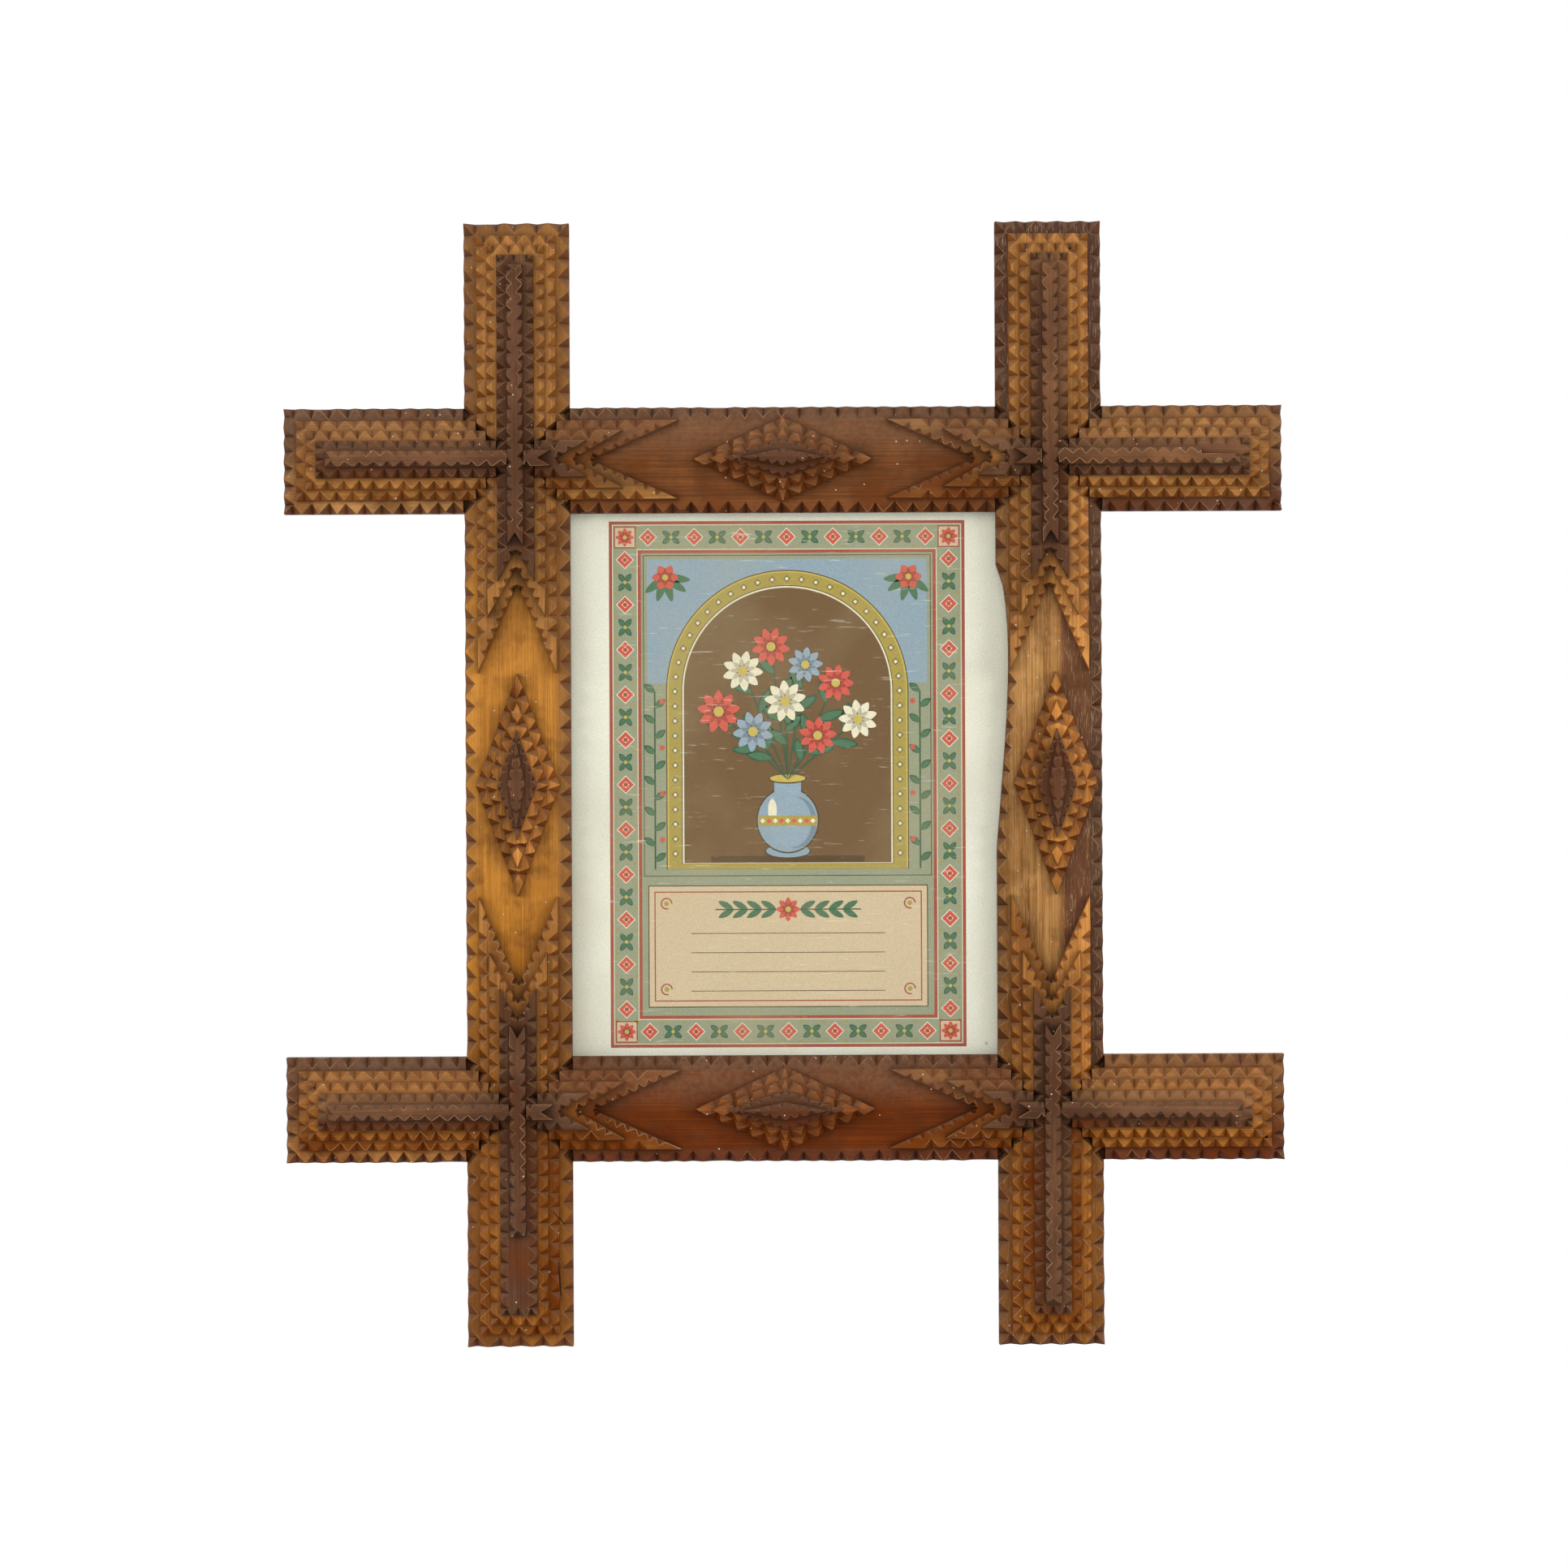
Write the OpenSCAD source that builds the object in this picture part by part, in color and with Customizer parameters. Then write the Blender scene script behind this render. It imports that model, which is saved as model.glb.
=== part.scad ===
// Chip-carved picture frame with crossed corners, built from a halved board frame,
// four stepped layers of notched strips on every corner and a stepped lozenge on every side.
// The wall is the plane y = 0, the front looks along -Y, +Z is up.
// The origin is the wall point at the middle of the raised hanging ring.

/* [Sight opening] */
// Width of the opening that shows the picture
sight_w = 210; // [180:1:320]
// Height of the opening that shows the picture
sight_h = 268; // [240:1:420]

/* [Base boards] */
// Width of each base board
board_w = 52; // [48:1:60]
// Thickness of each base board
board_t = 8; // [7:0.5:14]
// Length of a rail's arm past the stile
rail_arm = 89; // [60:1:140]
// Length of a stile's arm past the rail
stile_arm = 91; // [60:1:140]

/* [Applied layers] */
// Thickness of each applied layer
layer_t = 5; // [3:0.5:7]
// Ledge of base board that shows beside the first layer
base_ledge = 6.5; // [5:0.1:8]
// Width of the topmost strip, the ridge
ridge_w = 7.8; // [6.5:0.1:10]

/* [Swallow tails] */
// From the middle of a crossing to the tips of the first layer's tail, along a rail
rail_tail = 80; // [76:1:90]
// From the middle of a crossing to the tips of the first layer's tail, along a stile
stile_tail = 105; // [80:1:120]
// Half angle of the cut in the tail of the first layer
wide_tail_angle = 24; // [22:1:32]
// Half angle of the cut in the tails of the layers above
upper_tail_angle = 30; // [26:1:36]
// Distance from the root of one layer's tail to the root of the next
tail_step = 8.4; // [7:0.1:9]

/* [Lozenges] */
// Short diagonal of the lowest lozenge layer
lozenge_w = 41.5; // [38:0.5:44]
// Loss of the short diagonal from each lozenge layer to the next
lozenge_w_step = 11; // [9:0.5:11]
// Long diagonal of the lowest lozenge layer on a rail
rail_lozenge_len = 89; // [80:1:110]
// Loss of the long diagonal from each lozenge layer to the next on a rail
rail_lozenge_step = 16; // [12:0.5:20]
// Long diagonal of the lowest lozenge layer on a stile
stile_lozenge_len = 110; // [100:1:130]
// Loss of the long diagonal from each lozenge layer to the next on a stile
stile_lozenge_step = 28; // [16:0.5:29]
// Long diagonal of a stile lozenge's topmost layer, as a share of the layer below
ridge_share = 0.8; // [0.5:0.01:0.85]
// Distance that the right stile's lozenge sits off the middle of its board, outwards
lozenge_slip = 3; // [0:0.5:4]

/* [Chip carving] */
// Slope of a notch's valley below the face of a base board
base_slope = 48; // [42:1:52]
// Slope of a notch's valley below the face of a layer
layer_slope = 43; // [38:1:45]
// Flat strip left between a base board's notches and the first layer
base_margin = 1.2; // [0.4:0.1:1.5]
// Flat strip left between a layer's notches and the next layer
notch_margin = 0.6; // [0.4:0.1:1.5]
// Notch spacing along the stile boards
stile_pitch = 11; // [9:0.1:14]
// Notch spacing along the rail boards
rail_pitch = 9.3; // [9:0.1:14]
// Notch spacing along the first layer
layer_pitch = 8.2; // [7.5:0.1:10]
// Loss of notch spacing from each layer to the next
pitch_step = 0.5; // [0:0.1:0.7]
// Notch depth on the ridges
ridge_notch = 2.8; // [1.5:0.1:3]
// Notch spacing along the cut edges of the tails
tail_pitch = 6; // [5:0.1:8]
// Notch depth on the cut edges of the tails
tail_notch = 2.8; // [1.5:0.1:3.2]
// Notch spacing on the two topmost lozenge layers
core_pitch = 5.5; // [4.5:0.1:7]
// Notch depth on the two topmost lozenge layers
core_notch = 2.1; // [1.5:0.1:2.3]
// Width of the flat that is left at the tip of each tooth
tooth_land = 0.6; // [0.4:0.1:1.2]
// Unevenness of the hand-cut notches, as a share of their spacing
hand_play = 0.09; // [0:0.01:0.12]

/* [Wear] */
// Length of the broken stretch of the right stile's sight edge
break_len = 140; // [60:1:160]
// Depth of the broken stretch at its deepest
break_depth = 6; // [1:0.1:6.2]
// Distance from the top rail down to the broken stretch
break_drop = 26; // [10:1:60]
// Length that is gone from the end of the lower left stile's ridge
ridge_loss = 34; // [10:1:45]
// Length of the split at the end of the upper right rail's ridge
split_len = 19; // [8:1:30]
// Width of ridge that is left beside the split
split_w = 4.6; // [4:0.1:6]

/* [Rebate and backing] */
// Overlap of the boards over the glass
rebate_lip = 8; // [6.5:0.1:10]
// Width of each rebate strip
rebate_w = 12; // [10:0.5:14]
// Thickness of each rebate strip
rebate_t = 8; // [7.5:0.5:12]
// Gap round the edges of the glass, the print and the backboard
rebate_gap = 0.5; // [0.2:0.1:1]
// Thickness of the glass
glass_t = 2; // [1.5:0.1:2.5]
// Thickness of the printed card
print_t = 0.4; // [0.3:0.1:0.8]
// Thickness of the backboard
backboard_t = 3; // [2:0.1:3.5]

/* [Nails and brads] */
// Shank diameter of the nails
nail_d = 1.6; // [1:0.1:2]
// Head diameter of the nails
nail_head_d = 3.6; // [3:0.1:4]
// Head thickness of the nails
nail_head_t = 0.8; // [0.5:0.1:1]
// Length of the nails that hold the rebate strips, below the head
strip_nail_len = 11; // [9:0.5:13]
// Length of the nails that hold the halved crossings, below the head
lap_nail_len = 6; // [5:0.5:6.5]
// Distance of the two nails of a crossing from its middle, each way
lap_nail_reach = 12; // [8:1:16]
// Diameter of the brads that keep the backboard in
brad_d = 1.2; // [0.8:0.1:1.4]
// Length of a brad inside the rebate strip
brad_grip = 8; // [6:0.5:9]
// Length of a brad that lies over the backboard
brad_reach = 6; // [4:0.5:8]
// Play between a nail, brad or screw and its hole, and under a brad
nail_fit = 0.05; // [0.02:0.01:0.1]

/* [Hanger] */
// Diameter of the hanging ring, along the middle of its wire
ring_d = 14; // [12:0.5:14]
// Wire diameter of the hanging ring
ring_wire = 2; // [1.6:0.1:2.2]
// Play between the ring and the hole of the screw eye
ring_play = 0.35; // [0.3:0.05:0.4]
// Wire diameter of the screw eye
eye_wire = 1.8; // [1.4:0.1:2]
// Shank diameter of the screw eye
eye_shank_d = 2.2; // [1.8:0.1:2.6]
// Length of the shank inside the top rail
eye_grip = 6.5; // [5:0.5:6.5]
// Gap between the hanging ring and the rebate strip below it
ring_gap = 1; // [1:0.5:3]

/* [Hidden] */
$fn = 48;
layers = 4;
through = 1;
stile_x = (sight_w + board_w) / 2;
rail_z = (sight_h + board_w) / 2;
rail_len = sight_w + 2 * board_w + 2 * rail_arm;
stile_len = sight_h + 2 * board_w + 2 * stile_arm;
layer_ledge = (board_w - 2 * base_ledge - ridge_w) / (2 * (layers - 1));
base_notch = base_ledge - base_margin;
layer_notch = layer_ledge - notch_margin;
break_top = sight_h / 2 - break_drop;
break_foot = break_top - break_len;
break_skew = 0.62;
eye_hole_r = ring_wire / 2 + ring_play;
eye_loop_r = eye_hole_r + eye_wire / 2;
pivot_rise = rebate_lip + rebate_w + ring_gap + ring_d + ring_wire / 2;
pivot_z = -ring_d / 2;
centre_z = pivot_z - pivot_rise - sight_h / 2;
pane_w = sight_w + 2 * (rebate_lip - rebate_gap);
pane_h = sight_h + 2 * (rebate_lip - rebate_gap);
strip_inner_x = sight_w / 2 + rebate_lip;
strip_inner_z = sight_h / 2 + rebate_lip;
print_back = rebate_t - glass_t - print_t;
backboard_back = print_back - backboard_t;
brad_line = backboard_back - nail_fit - brad_d / 2;
corners = [
    ["top_left", -1, 1],
    ["top_right", 1, 1],
    ["bottom_left", -1, -1],
    ["bottom_right", 1, -1],
];
boards = ["rail", "stile"];
strips = ["top", "bottom", "left", "right"];

function stile_layer_name(corner, n) = str(corner[0], "_stile_layer_", n);
function rail_layer_name(corner, n) = str(corner[0], "_rail_layer_", n);
function lozenge_name(board, n) = str(board, "_lozenges_layer_", n);
function strip_name(strip) = str(strip, "_rebate_strip");

// Sizes of one layer, counted from 1 on the base board
function layer_inset(n) = base_ledge + (n - 1) * layer_ledge;
function layer_w(n) = board_w - 2 * layer_inset(n);
function layer_back(n) = rebate_t + board_t + (n - 1) * layer_t;
function tail_angle(n) = n == 1 ? wide_tail_angle : upper_tail_angle;
function tail_run(n) = layer_w(n) / 2 / tan(tail_angle(n));
function tail_root(n, first_tip) = first_tip - tail_run(1) - (n - 1) * tail_step;
function tail_tip(n, first_tip) = tail_root(n, first_tip) + tail_run(n);
function pitch_of(n) = layer_pitch - (n - 1) * pitch_step;
function notch_of(n) = n == layers ? ridge_notch : layer_notch;

// Half a notch of offset that sets the two sides of a ridge against each other
function stagger(n) = n == layers ? pitch_of(n) / 2 : 0;

// A piece's own seed, so that no two strips are carved alike
function corner_seed(corner, n) = 40 + 20 * n + 5 * corner[1] + 2 * corner[2];

// Turns a plan drawn in x and z towards the front and sets its back at a distance from the wall
module facing(back) {
    translate([0, -back, centre_z])
        rotate([90, 0, 0])
            children();
}

// Puts a plan drawn outwards from a crossing onto one corner of the frame
module at_corner(corner, back) {
    facing(back)
        translate([corner[1] * stile_x, corner[2] * rail_z, 0])
            mirror([corner[1] < 0 ? 1 : 0, 0, 0])
                mirror([0, corner[2] < 0 ? 1 : 0, 0])
                    children();
}

// Outline of a row of hand-cut notches, seen along their valleys
function notch_outline(length, count, crest, seed) =
    let (
        step = length / count,
        play = rands(-hand_play, hand_play, 3 * count + 1, seed),
        peak = crest * (1 + tooth_land / (step - tooth_land)),
        top = peak + through
    ) concat(
        [[0, top], [0, peak]],
        [
            for (i = [0:count - 1])
                for (p = [
                    [(i + 0.5 + play[3 * i]) * step, crest * play[3 * i + 1]],
                    [(i + 1 + (i < count - 1 ? play[3 * i + 2] : 0)) * step, peak],
                ]) p
        ],
        [[length, top]]
    );

// Cutter for all the notches along one straight edge, with the wood on its left
module notch_row(edge, thick, pitch, depth, slope, seed) {
    run = edge[1] - edge[0];
    length = norm(run);
    count = max(1, round(length / pitch));
    travel = depth * cos(slope) + thick * sin(slope) + through;
    translate([edge[0][0], edge[0][1], thick])
        rotate([0, 0, atan2(run[1], run[0])])
            translate([0, depth, 0])
                rotate([90 + slope, 0, 0])
                    translate([0, 0, -through])
                        linear_extrude(travel + through)
                            polygon(notch_outline(length, count, depth * sin(slope), seed));
}

// A flat piece, carved along some of its edges
module carved(outline, thick, slope, rows, seed) {
    difference() {
        linear_extrude(thick)
            polygon(outline);
        for (i = [0:len(rows) - 1])
            notch_row(rows[i][0], thick, rows[i][1], rows[i][2], slope, seed * 10 + i);
    }
}

// A point on the way from one point to another, at a distance from the first
function along(a, b, distance) = a + (b - a) * distance / norm(b - a);

// Cut edges of a swallow tail, left plain at the thin tips
function tail_rows(left_tip, root, right_tip, n) =
    let (
        plain = (tail_notch + tooth_land) / sin(tail_angle(n)),
        carve = norm(root - left_tip) > plain + tail_pitch
    ) carve ? [
        [[along(left_tip, root, plain), root], tail_pitch, tail_notch],
        [[root, along(right_tip, root, plain)], tail_pitch, tail_notch],
    ] : [];

// Length of a layer's side that stays plain beside its tail's thin tip
function tail_plain(n) = (notch_of(n) + tail_notch) / tan(tail_angle(n));

// Upright strip of one layer, running through the crossing to its tail
module stile_strip(n, seed, loss = 0) {
    half = layer_w(n) / 2;
    end = board_w / 2 + stile_arm - layer_inset(n) - loss;
    tip = -tail_tip(n, stile_tail);
    stop = tip + tail_plain(n);
    root = [0, -tail_root(n, stile_tail)];
    sides_and_end = [
        [[[half, stop], [half, end]], pitch_of(n), notch_of(n)],
        [[[half, end], [-half, end]], pitch_of(n), notch_of(n)],
        [[[-half, end - stagger(n)], [-half, stop - stagger(n)]], pitch_of(n), notch_of(n)],
    ];
    carved(
        [[-half, tip], root, [half, tip], [half, end], [-half, end]],
        layer_t,
        layer_slope,
        concat(sides_and_end, tail_rows([-half, tip], root, [half, tip], n)),
        seed
    );
}

// Crosswise strip of one layer on a rail's arm, butted against the upright strip
module rail_arm_strip(n, seed) {
    half = layer_w(n) / 2;
    end = board_w / 2 + rail_arm - layer_inset(n);
    carved(
        [[half, -half], [end, -half], [end, half], [half, half]],
        layer_t,
        layer_slope,
        [
            [[[half, -half], [end, -half]], pitch_of(n), notch_of(n)],
            [[[end, -half], [end, half]], pitch_of(n), notch_of(n)],
            [[[end - stagger(n), half], [half - stagger(n), half]], pitch_of(n), notch_of(n)],
        ],
        seed
    );
}

// Crosswise strip of one layer on a rail's inner side, from the upright strip to its tail
module rail_tail_strip(n, seed) {
    half = layer_w(n) / 2;
    tip = -tail_tip(n, rail_tail);
    stop = tip + tail_plain(n);
    root = [-tail_root(n, rail_tail), 0];
    carved(
        [[-half, half], [tip, half], root, [tip, -half], [-half, -half]],
        layer_t,
        layer_slope,
        concat(
            [
                [[[-half, half], [stop, half]], pitch_of(n), notch_of(n)],
                [[[stop, -half], [-half, -half]], pitch_of(n), notch_of(n)],
            ],
            tail_rows([tip, half], root, [tip, -half], n)
        ),
        seed
    );
}

// Room for the split that took the upper edge of a ridge's end
module ridge_split(end) {
    translate([end - split_len, split_w - ridge_w / 2, -through])
        cube([split_len + through, ridge_w, layer_t + 2 * through]);
}

// Tones of the applied layers: golden brown below, dark brown on top
module layer_colour(n) {
    color(n <= 2 ? "peru" : "saddlebrown")
        children();
}

module stile_layer(corner, n) {
    worn = n == layers && corner[0] == "bottom_left";
    layer_colour(n)
        at_corner(corner, layer_back(n))
            stile_strip(n, corner_seed(corner, n), worn ? ridge_loss : 0);
}

module rail_layer(corner, n) {
    seed = corner_seed(corner, n) + 200;
    layer_colour(n)
        at_corner(corner, layer_back(n)) {
            difference() {
                rail_arm_strip(n, seed);
                if (n == layers && corner[0] == "top_right")
                    ridge_split(board_w / 2 + rail_arm - layer_inset(n));
            }
            rail_tail_strip(n, seed + 100);
        }
}

// Long diagonal of one lozenge layer
function lozenge_long(board, n) =
    board == "rail" ? rail_lozenge_len - (n - 1) * rail_lozenge_step
    : n < layers ? stile_lozenge_len - (n - 1) * stile_lozenge_step
    : ridge_share * lozenge_long(board, n - 1);

// One layer of a lozenge with its long diagonal along x
module lozenge_layer(n, long, seed) {
    a = long / 2;
    b = (lozenge_w - (n - 1) * lozenge_w_step) / 2;
    core = n >= layers - 1;
    depth = core ? core_notch : layer_notch;
    pitch = core ? core_pitch : pitch_of(n);
    plain = depth / sin(2 * atan2(b, a));
    left = [-a, 0];
    right = [a, 0];
    low = [0, -b];
    high = [0, b];
    carved(
        [left, low, right, high],
        layer_t,
        layer_slope,
        [
            [[along(left, low, plain), low], pitch, depth],
            [[low, along(right, low, plain)], pitch, depth],
            [[along(right, high, plain), high], pitch, depth],
            [[high, along(left, high, plain)], pitch, depth],
        ],
        seed
    );
}

// The same layer of the lozenges on both rails or both stiles
module lozenges(board, n) {
    upright = board == "stile";
    for (sign = [-1, 1])
        layer_colour(n)
            facing(layer_back(n))
                translate(upright ? [sign * stile_x + max(sign, 0) * lozenge_slip, 0, 0] : [0, sign * rail_z, 0])
                    rotate([0, 0, upright ? 90 : 0])
                        lozenge_layer(n, lozenge_long(board, n), 500 + 10 * n + (upright ? 5 : 3) * sign);
}

// Nails that hold the halved crossings, driven from the back clear of the rebate strips
module at_lap_nails() {
    for (corner = corners)
        for (reach = [-lap_nail_reach, lap_nail_reach])
            translate([
                corner[1] * stile_x + reach,
                -rebate_t,
                centre_z + corner[2] * rail_z - reach * corner[1] * corner[2],
            ])
                rotate([90, 0, 0])
                    children();
}

module lap_nail_holes() {
    at_lap_nails()
        cylinder(d = nail_d + 2 * nail_fit, h = lap_nail_len + nail_fit);
}

// Half of the thickness that is cut out of a board at each of its two crossings
module lap_housing(across, along_x, back) {
    for (side = [-1, 1])
        facing(back)
            translate([
                (along_x ? side * across : 0) - board_w / 2,
                (along_x ? 0 : side * across) - board_w / 2,
                0,
            ])
                cube([board_w, board_w, board_t / 2]);
}

// A rail, housed on its front for the stiles and carved on the edges that stay in view
module rail(level, seed) {
    half = board_w / 2;
    inner = sight_w / 2;
    outer = sight_w / 2 + board_w;
    end = rail_len / 2;
    outline = [[-end, -half], [end, -half], [end, half], [-end, half]];
    spans = [[-end, -outer], [-inner, inner], [outer, end]];
    rows = concat(
        [for (span = spans) [[[span[0], -half], [span[1], -half]], rail_pitch, base_notch]],
        [for (span = spans) [[[-span[0], half], [-span[1], half]], rail_pitch, base_notch]],
        [
            [[[end, -half], [end, half]], rail_pitch, base_notch],
            [[[-end, half], [-end, -half]], rail_pitch, base_notch],
        ]
    );
    difference() {
        facing(rebate_t)
            translate([0, level * rail_z, 0])
                carved(outline, board_t, base_slope, rows, seed);
        translate([0, 0, level * rail_z])
            lap_housing(stile_x, true, rebate_t + board_t / 2);
        lap_nail_holes();
        rebate_nail_holes();
        if (level > 0)
            eye_hole();
    }
}

// A stile, housed on its back for the rails and carved from end to end
module stile(side, seed) {
    half = board_w / 2;
    end = stile_len / 2;
    outline = [[-half, -end], [half, -end], [half, end], [-half, end]];
    head = rail_z - stile_tail;
    sloping = side > 0 && break_foot < head - stile_pitch;
    left_edge = sloping ? [
        [[[-half, end], [-half, head]], stile_pitch, base_notch],
        [[[break_at(head) - half, head], [-half, break_foot]], stile_pitch, base_notch - base_margin],
        [[[-half, break_foot], [-half, -end]], stile_pitch, base_notch],
    ] : [[[[-half, end], [-half, -end]], stile_pitch, base_notch]];
    other_edges = [
        [[[half, -end], [half, end]], stile_pitch, base_notch],
        [[[half, end], [-half, end]], stile_pitch, base_notch],
        [[[-half, -end], [half, -end]], stile_pitch, base_notch],
    ];
    difference() {
        facing(rebate_t)
            translate([side * stile_x, 0, 0])
                carved(outline, board_t, base_slope, concat(other_edges, left_edge), seed);
        translate([side * stile_x, 0, 0])
            lap_housing(rail_z, false, rebate_t);
        lap_nail_holes();
        rebate_nail_holes();
        if (side > 0)
            sight_edge_break();
    }
}

// Depth of the broken stretch at a height over the middle of the sight edge
function break_at(z) =
    let (share = min(1, max(0, (break_top - z) / break_len)))
    break_depth * sin(180 * pow(share, break_skew));

// The stretch of sight edge that broke away: steeper at its top, running out slowly below
module sight_edge_break() {
    steps = 14;
    edge = sight_w / 2;
    worn = [
        for (i = [0:steps])
            let (z = break_top - break_len * i / steps)
                [edge + break_at(z), z]
    ];
    facing(rebate_t - through)
        linear_extrude(board_t + 2 * through)
            polygon(concat(worn, [[edge - through, break_foot], [edge - through, break_top]]));
}

module top_rail() {
    color("sienna")
        rail(1, 1);
}

module bottom_rail() {
    color("sienna")
        rail(-1, 2);
}

module left_stile() {
    color("goldenrod")
        stile(-1, 3);
}

module right_stile() {
    color("darkgoldenrod")
        stile(1, 4);
}

// Rebate strips: the top and bottom ones run past the ends of the side ones
module rebate_strip(strip) {
    upright = strip == "left" || strip == "right";
    sign = strip == "top" || strip == "right" ? 1 : -1;
    length = upright ? 2 * strip_inner_z : 2 * (strip_inner_x + rebate_w);
    off = sign * ((upright ? strip_inner_x : strip_inner_z) + rebate_w / 2);
    middle = upright ? [off, 0] : [0, off];
    size = upright ? [rebate_w, length] : [length, rebate_w];
    color("burlywood")
        difference() {
            facing(0)
                translate([middle[0] - size[0] / 2, middle[1] - size[1] / 2, 0])
                    cube([size[0], size[1], rebate_t]);
            rebate_nail_holes();
            brad_holes();
        }
}

// Nails through the rebate strips into the boards, with their heads let in flush
module at_rebate_nails() {
    for (sign = [-1, 1])
        for (place = [-1, 0, 1]) {
            translate([place * (sight_w / 2 - rebate_w), 0, centre_z + sign * (strip_inner_z + rebate_w / 2)])
                rotate([90, 0, 0])
                    children();
            translate([sign * (strip_inner_x + rebate_w / 2), 0, centre_z + place * (sight_h / 2 - rebate_w)])
                rotate([90, 0, 0])
                    children();
        }
}

module rebate_nail_holes() {
    at_rebate_nails() {
        cylinder(d = nail_d + 2 * nail_fit, h = nail_head_t + strip_nail_len + nail_fit);
        translate([0, 0, -through])
            cylinder(d = nail_head_d + 2 * nail_fit, h = nail_head_t + through);
    }
}

// Shank and head of one nail, with its head's outer face at the origin
module nail(shank) {
    cylinder(d = nail_head_d, h = nail_head_t);
    cylinder(d = nail_d, h = nail_head_t + shank);
}

module rebate_nails() {
    color("dimgray")
        at_rebate_nails()
            nail(strip_nail_len);
}

module lap_nails() {
    color("dimgray")
        at_lap_nails()
            translate([0, 0, -nail_head_t])
                nail(lap_nail_len);
}

// Brads in the inner faces of the rebate strips, between their nails, lying over the backboard
module at_brads() {
    for (sign = [-1, 1])
        for (place = [-1, 1]) {
            translate([place * sight_w / 4, -brad_line, centre_z + sign * strip_inner_z])
                rotate([0, sign * 90 - 90, 0])
                    children();
            translate([sign * strip_inner_x, -brad_line, centre_z + place * sight_h / 4])
                rotate([0, sign * 90, 0])
                    children();
        }
}

module brad_holes() {
    at_brads()
        translate([0, 0, -through])
            cylinder(d = brad_d + 2 * nail_fit, h = brad_grip + nail_fit + through);
}

module backboard_brads() {
    color("gray")
        at_brads()
            translate([0, 0, -brad_reach])
                cylinder(d = brad_d, h = brad_grip + brad_reach);
}

// A sheet that lies in the rebate
module rebate_sheet(back, thick) {
    facing(back)
        translate([-pane_w / 2, -pane_h / 2, 0])
            cube([pane_w, pane_h, thick]);
}

module glass_pane() {
    color("lightcyan", 0.3)
        rebate_sheet(rebate_t - glass_t, glass_t);
}

module printed_card() {
    color("ivory")
        rebate_sheet(print_back, print_t);
}

module backboard() {
    color("tan")
        rebate_sheet(backboard_back, backboard_t);
}

// The hinge line of the ring, in the middle of the gap between the top rail and the wall
module at_pivot() {
    translate([0, -rebate_t / 2, pivot_z])
        children();
}

module eye_hole() {
    at_pivot()
        rotate([90, 0, 0])
            cylinder(d = eye_shank_d + 2 * nail_fit, h = rebate_t / 2 + eye_grip + nail_fit);
}

module screw_eye() {
    color("darkgray")
        at_pivot() {
            rotate([0, 90, 0])
                rotate_extrude()
                    translate([eye_loop_r, 0])
                        circle(d = eye_wire);
            translate([0, -eye_loop_r, 0])
                rotate([90, 0, 0])
                    cylinder(d = eye_shank_d, h = rebate_t / 2 + eye_grip - eye_loop_r);
        }
}

module hanging_ring() {
    color("darkkhaki")
        at_pivot()
            translate([0, 0, -ring_d / 2])
                rotate([90, 0, 0])
                    rotate_extrude()
                        translate([ring_d / 2, 0])
                            circle(d = ring_wire);
}

top_rail();
bottom_rail();
left_stile();
right_stile();
for (corner = corners)
    for (n = [1:layers]) {
        stile_layer(corner, n);
        rail_layer(corner, n);
    }
for (board = boards)
    for (n = [1:layers])
        lozenges(board, n);
for (strip = strips)
    rebate_strip(strip);
glass_pane();
printed_card();
backboard();
backboard_brads();
rebate_nails();
lap_nails();
screw_eye();
hanging_ring();
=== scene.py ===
import math
import random
from functools import partial

import bmesh
import bpy
from mathutils import Matrix, Vector
from mathutils.geometry import intersect_point_line


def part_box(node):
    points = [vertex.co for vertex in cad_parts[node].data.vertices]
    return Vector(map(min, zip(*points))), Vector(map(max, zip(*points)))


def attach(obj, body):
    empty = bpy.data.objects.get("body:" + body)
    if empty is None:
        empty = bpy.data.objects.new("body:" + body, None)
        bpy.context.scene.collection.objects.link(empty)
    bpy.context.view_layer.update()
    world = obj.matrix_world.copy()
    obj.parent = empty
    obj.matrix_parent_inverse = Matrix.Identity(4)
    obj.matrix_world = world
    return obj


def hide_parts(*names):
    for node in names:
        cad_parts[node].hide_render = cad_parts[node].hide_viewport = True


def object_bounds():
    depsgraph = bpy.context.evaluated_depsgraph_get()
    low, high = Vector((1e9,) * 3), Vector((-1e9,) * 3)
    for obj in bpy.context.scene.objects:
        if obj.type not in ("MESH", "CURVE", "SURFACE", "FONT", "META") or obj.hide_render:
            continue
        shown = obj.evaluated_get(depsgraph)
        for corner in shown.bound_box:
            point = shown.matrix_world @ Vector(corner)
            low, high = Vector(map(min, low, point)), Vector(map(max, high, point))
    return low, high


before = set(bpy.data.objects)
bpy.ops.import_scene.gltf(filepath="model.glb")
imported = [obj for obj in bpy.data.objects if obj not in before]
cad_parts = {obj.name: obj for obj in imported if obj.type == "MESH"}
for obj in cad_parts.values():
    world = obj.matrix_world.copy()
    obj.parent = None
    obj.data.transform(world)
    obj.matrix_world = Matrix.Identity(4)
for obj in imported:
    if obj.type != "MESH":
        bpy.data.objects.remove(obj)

bl_info = {
    "name": "Tramp art frame",
    "version": (1, 0, 0),
    "blender": (4, 5, 0),
    "location": "3D View > Sidebar > Tramp art frame",
    "description": "Dresses the solids of a chip-carved picture frame with wood, print, glass and hanger",
    "category": "Object",
}

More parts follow.
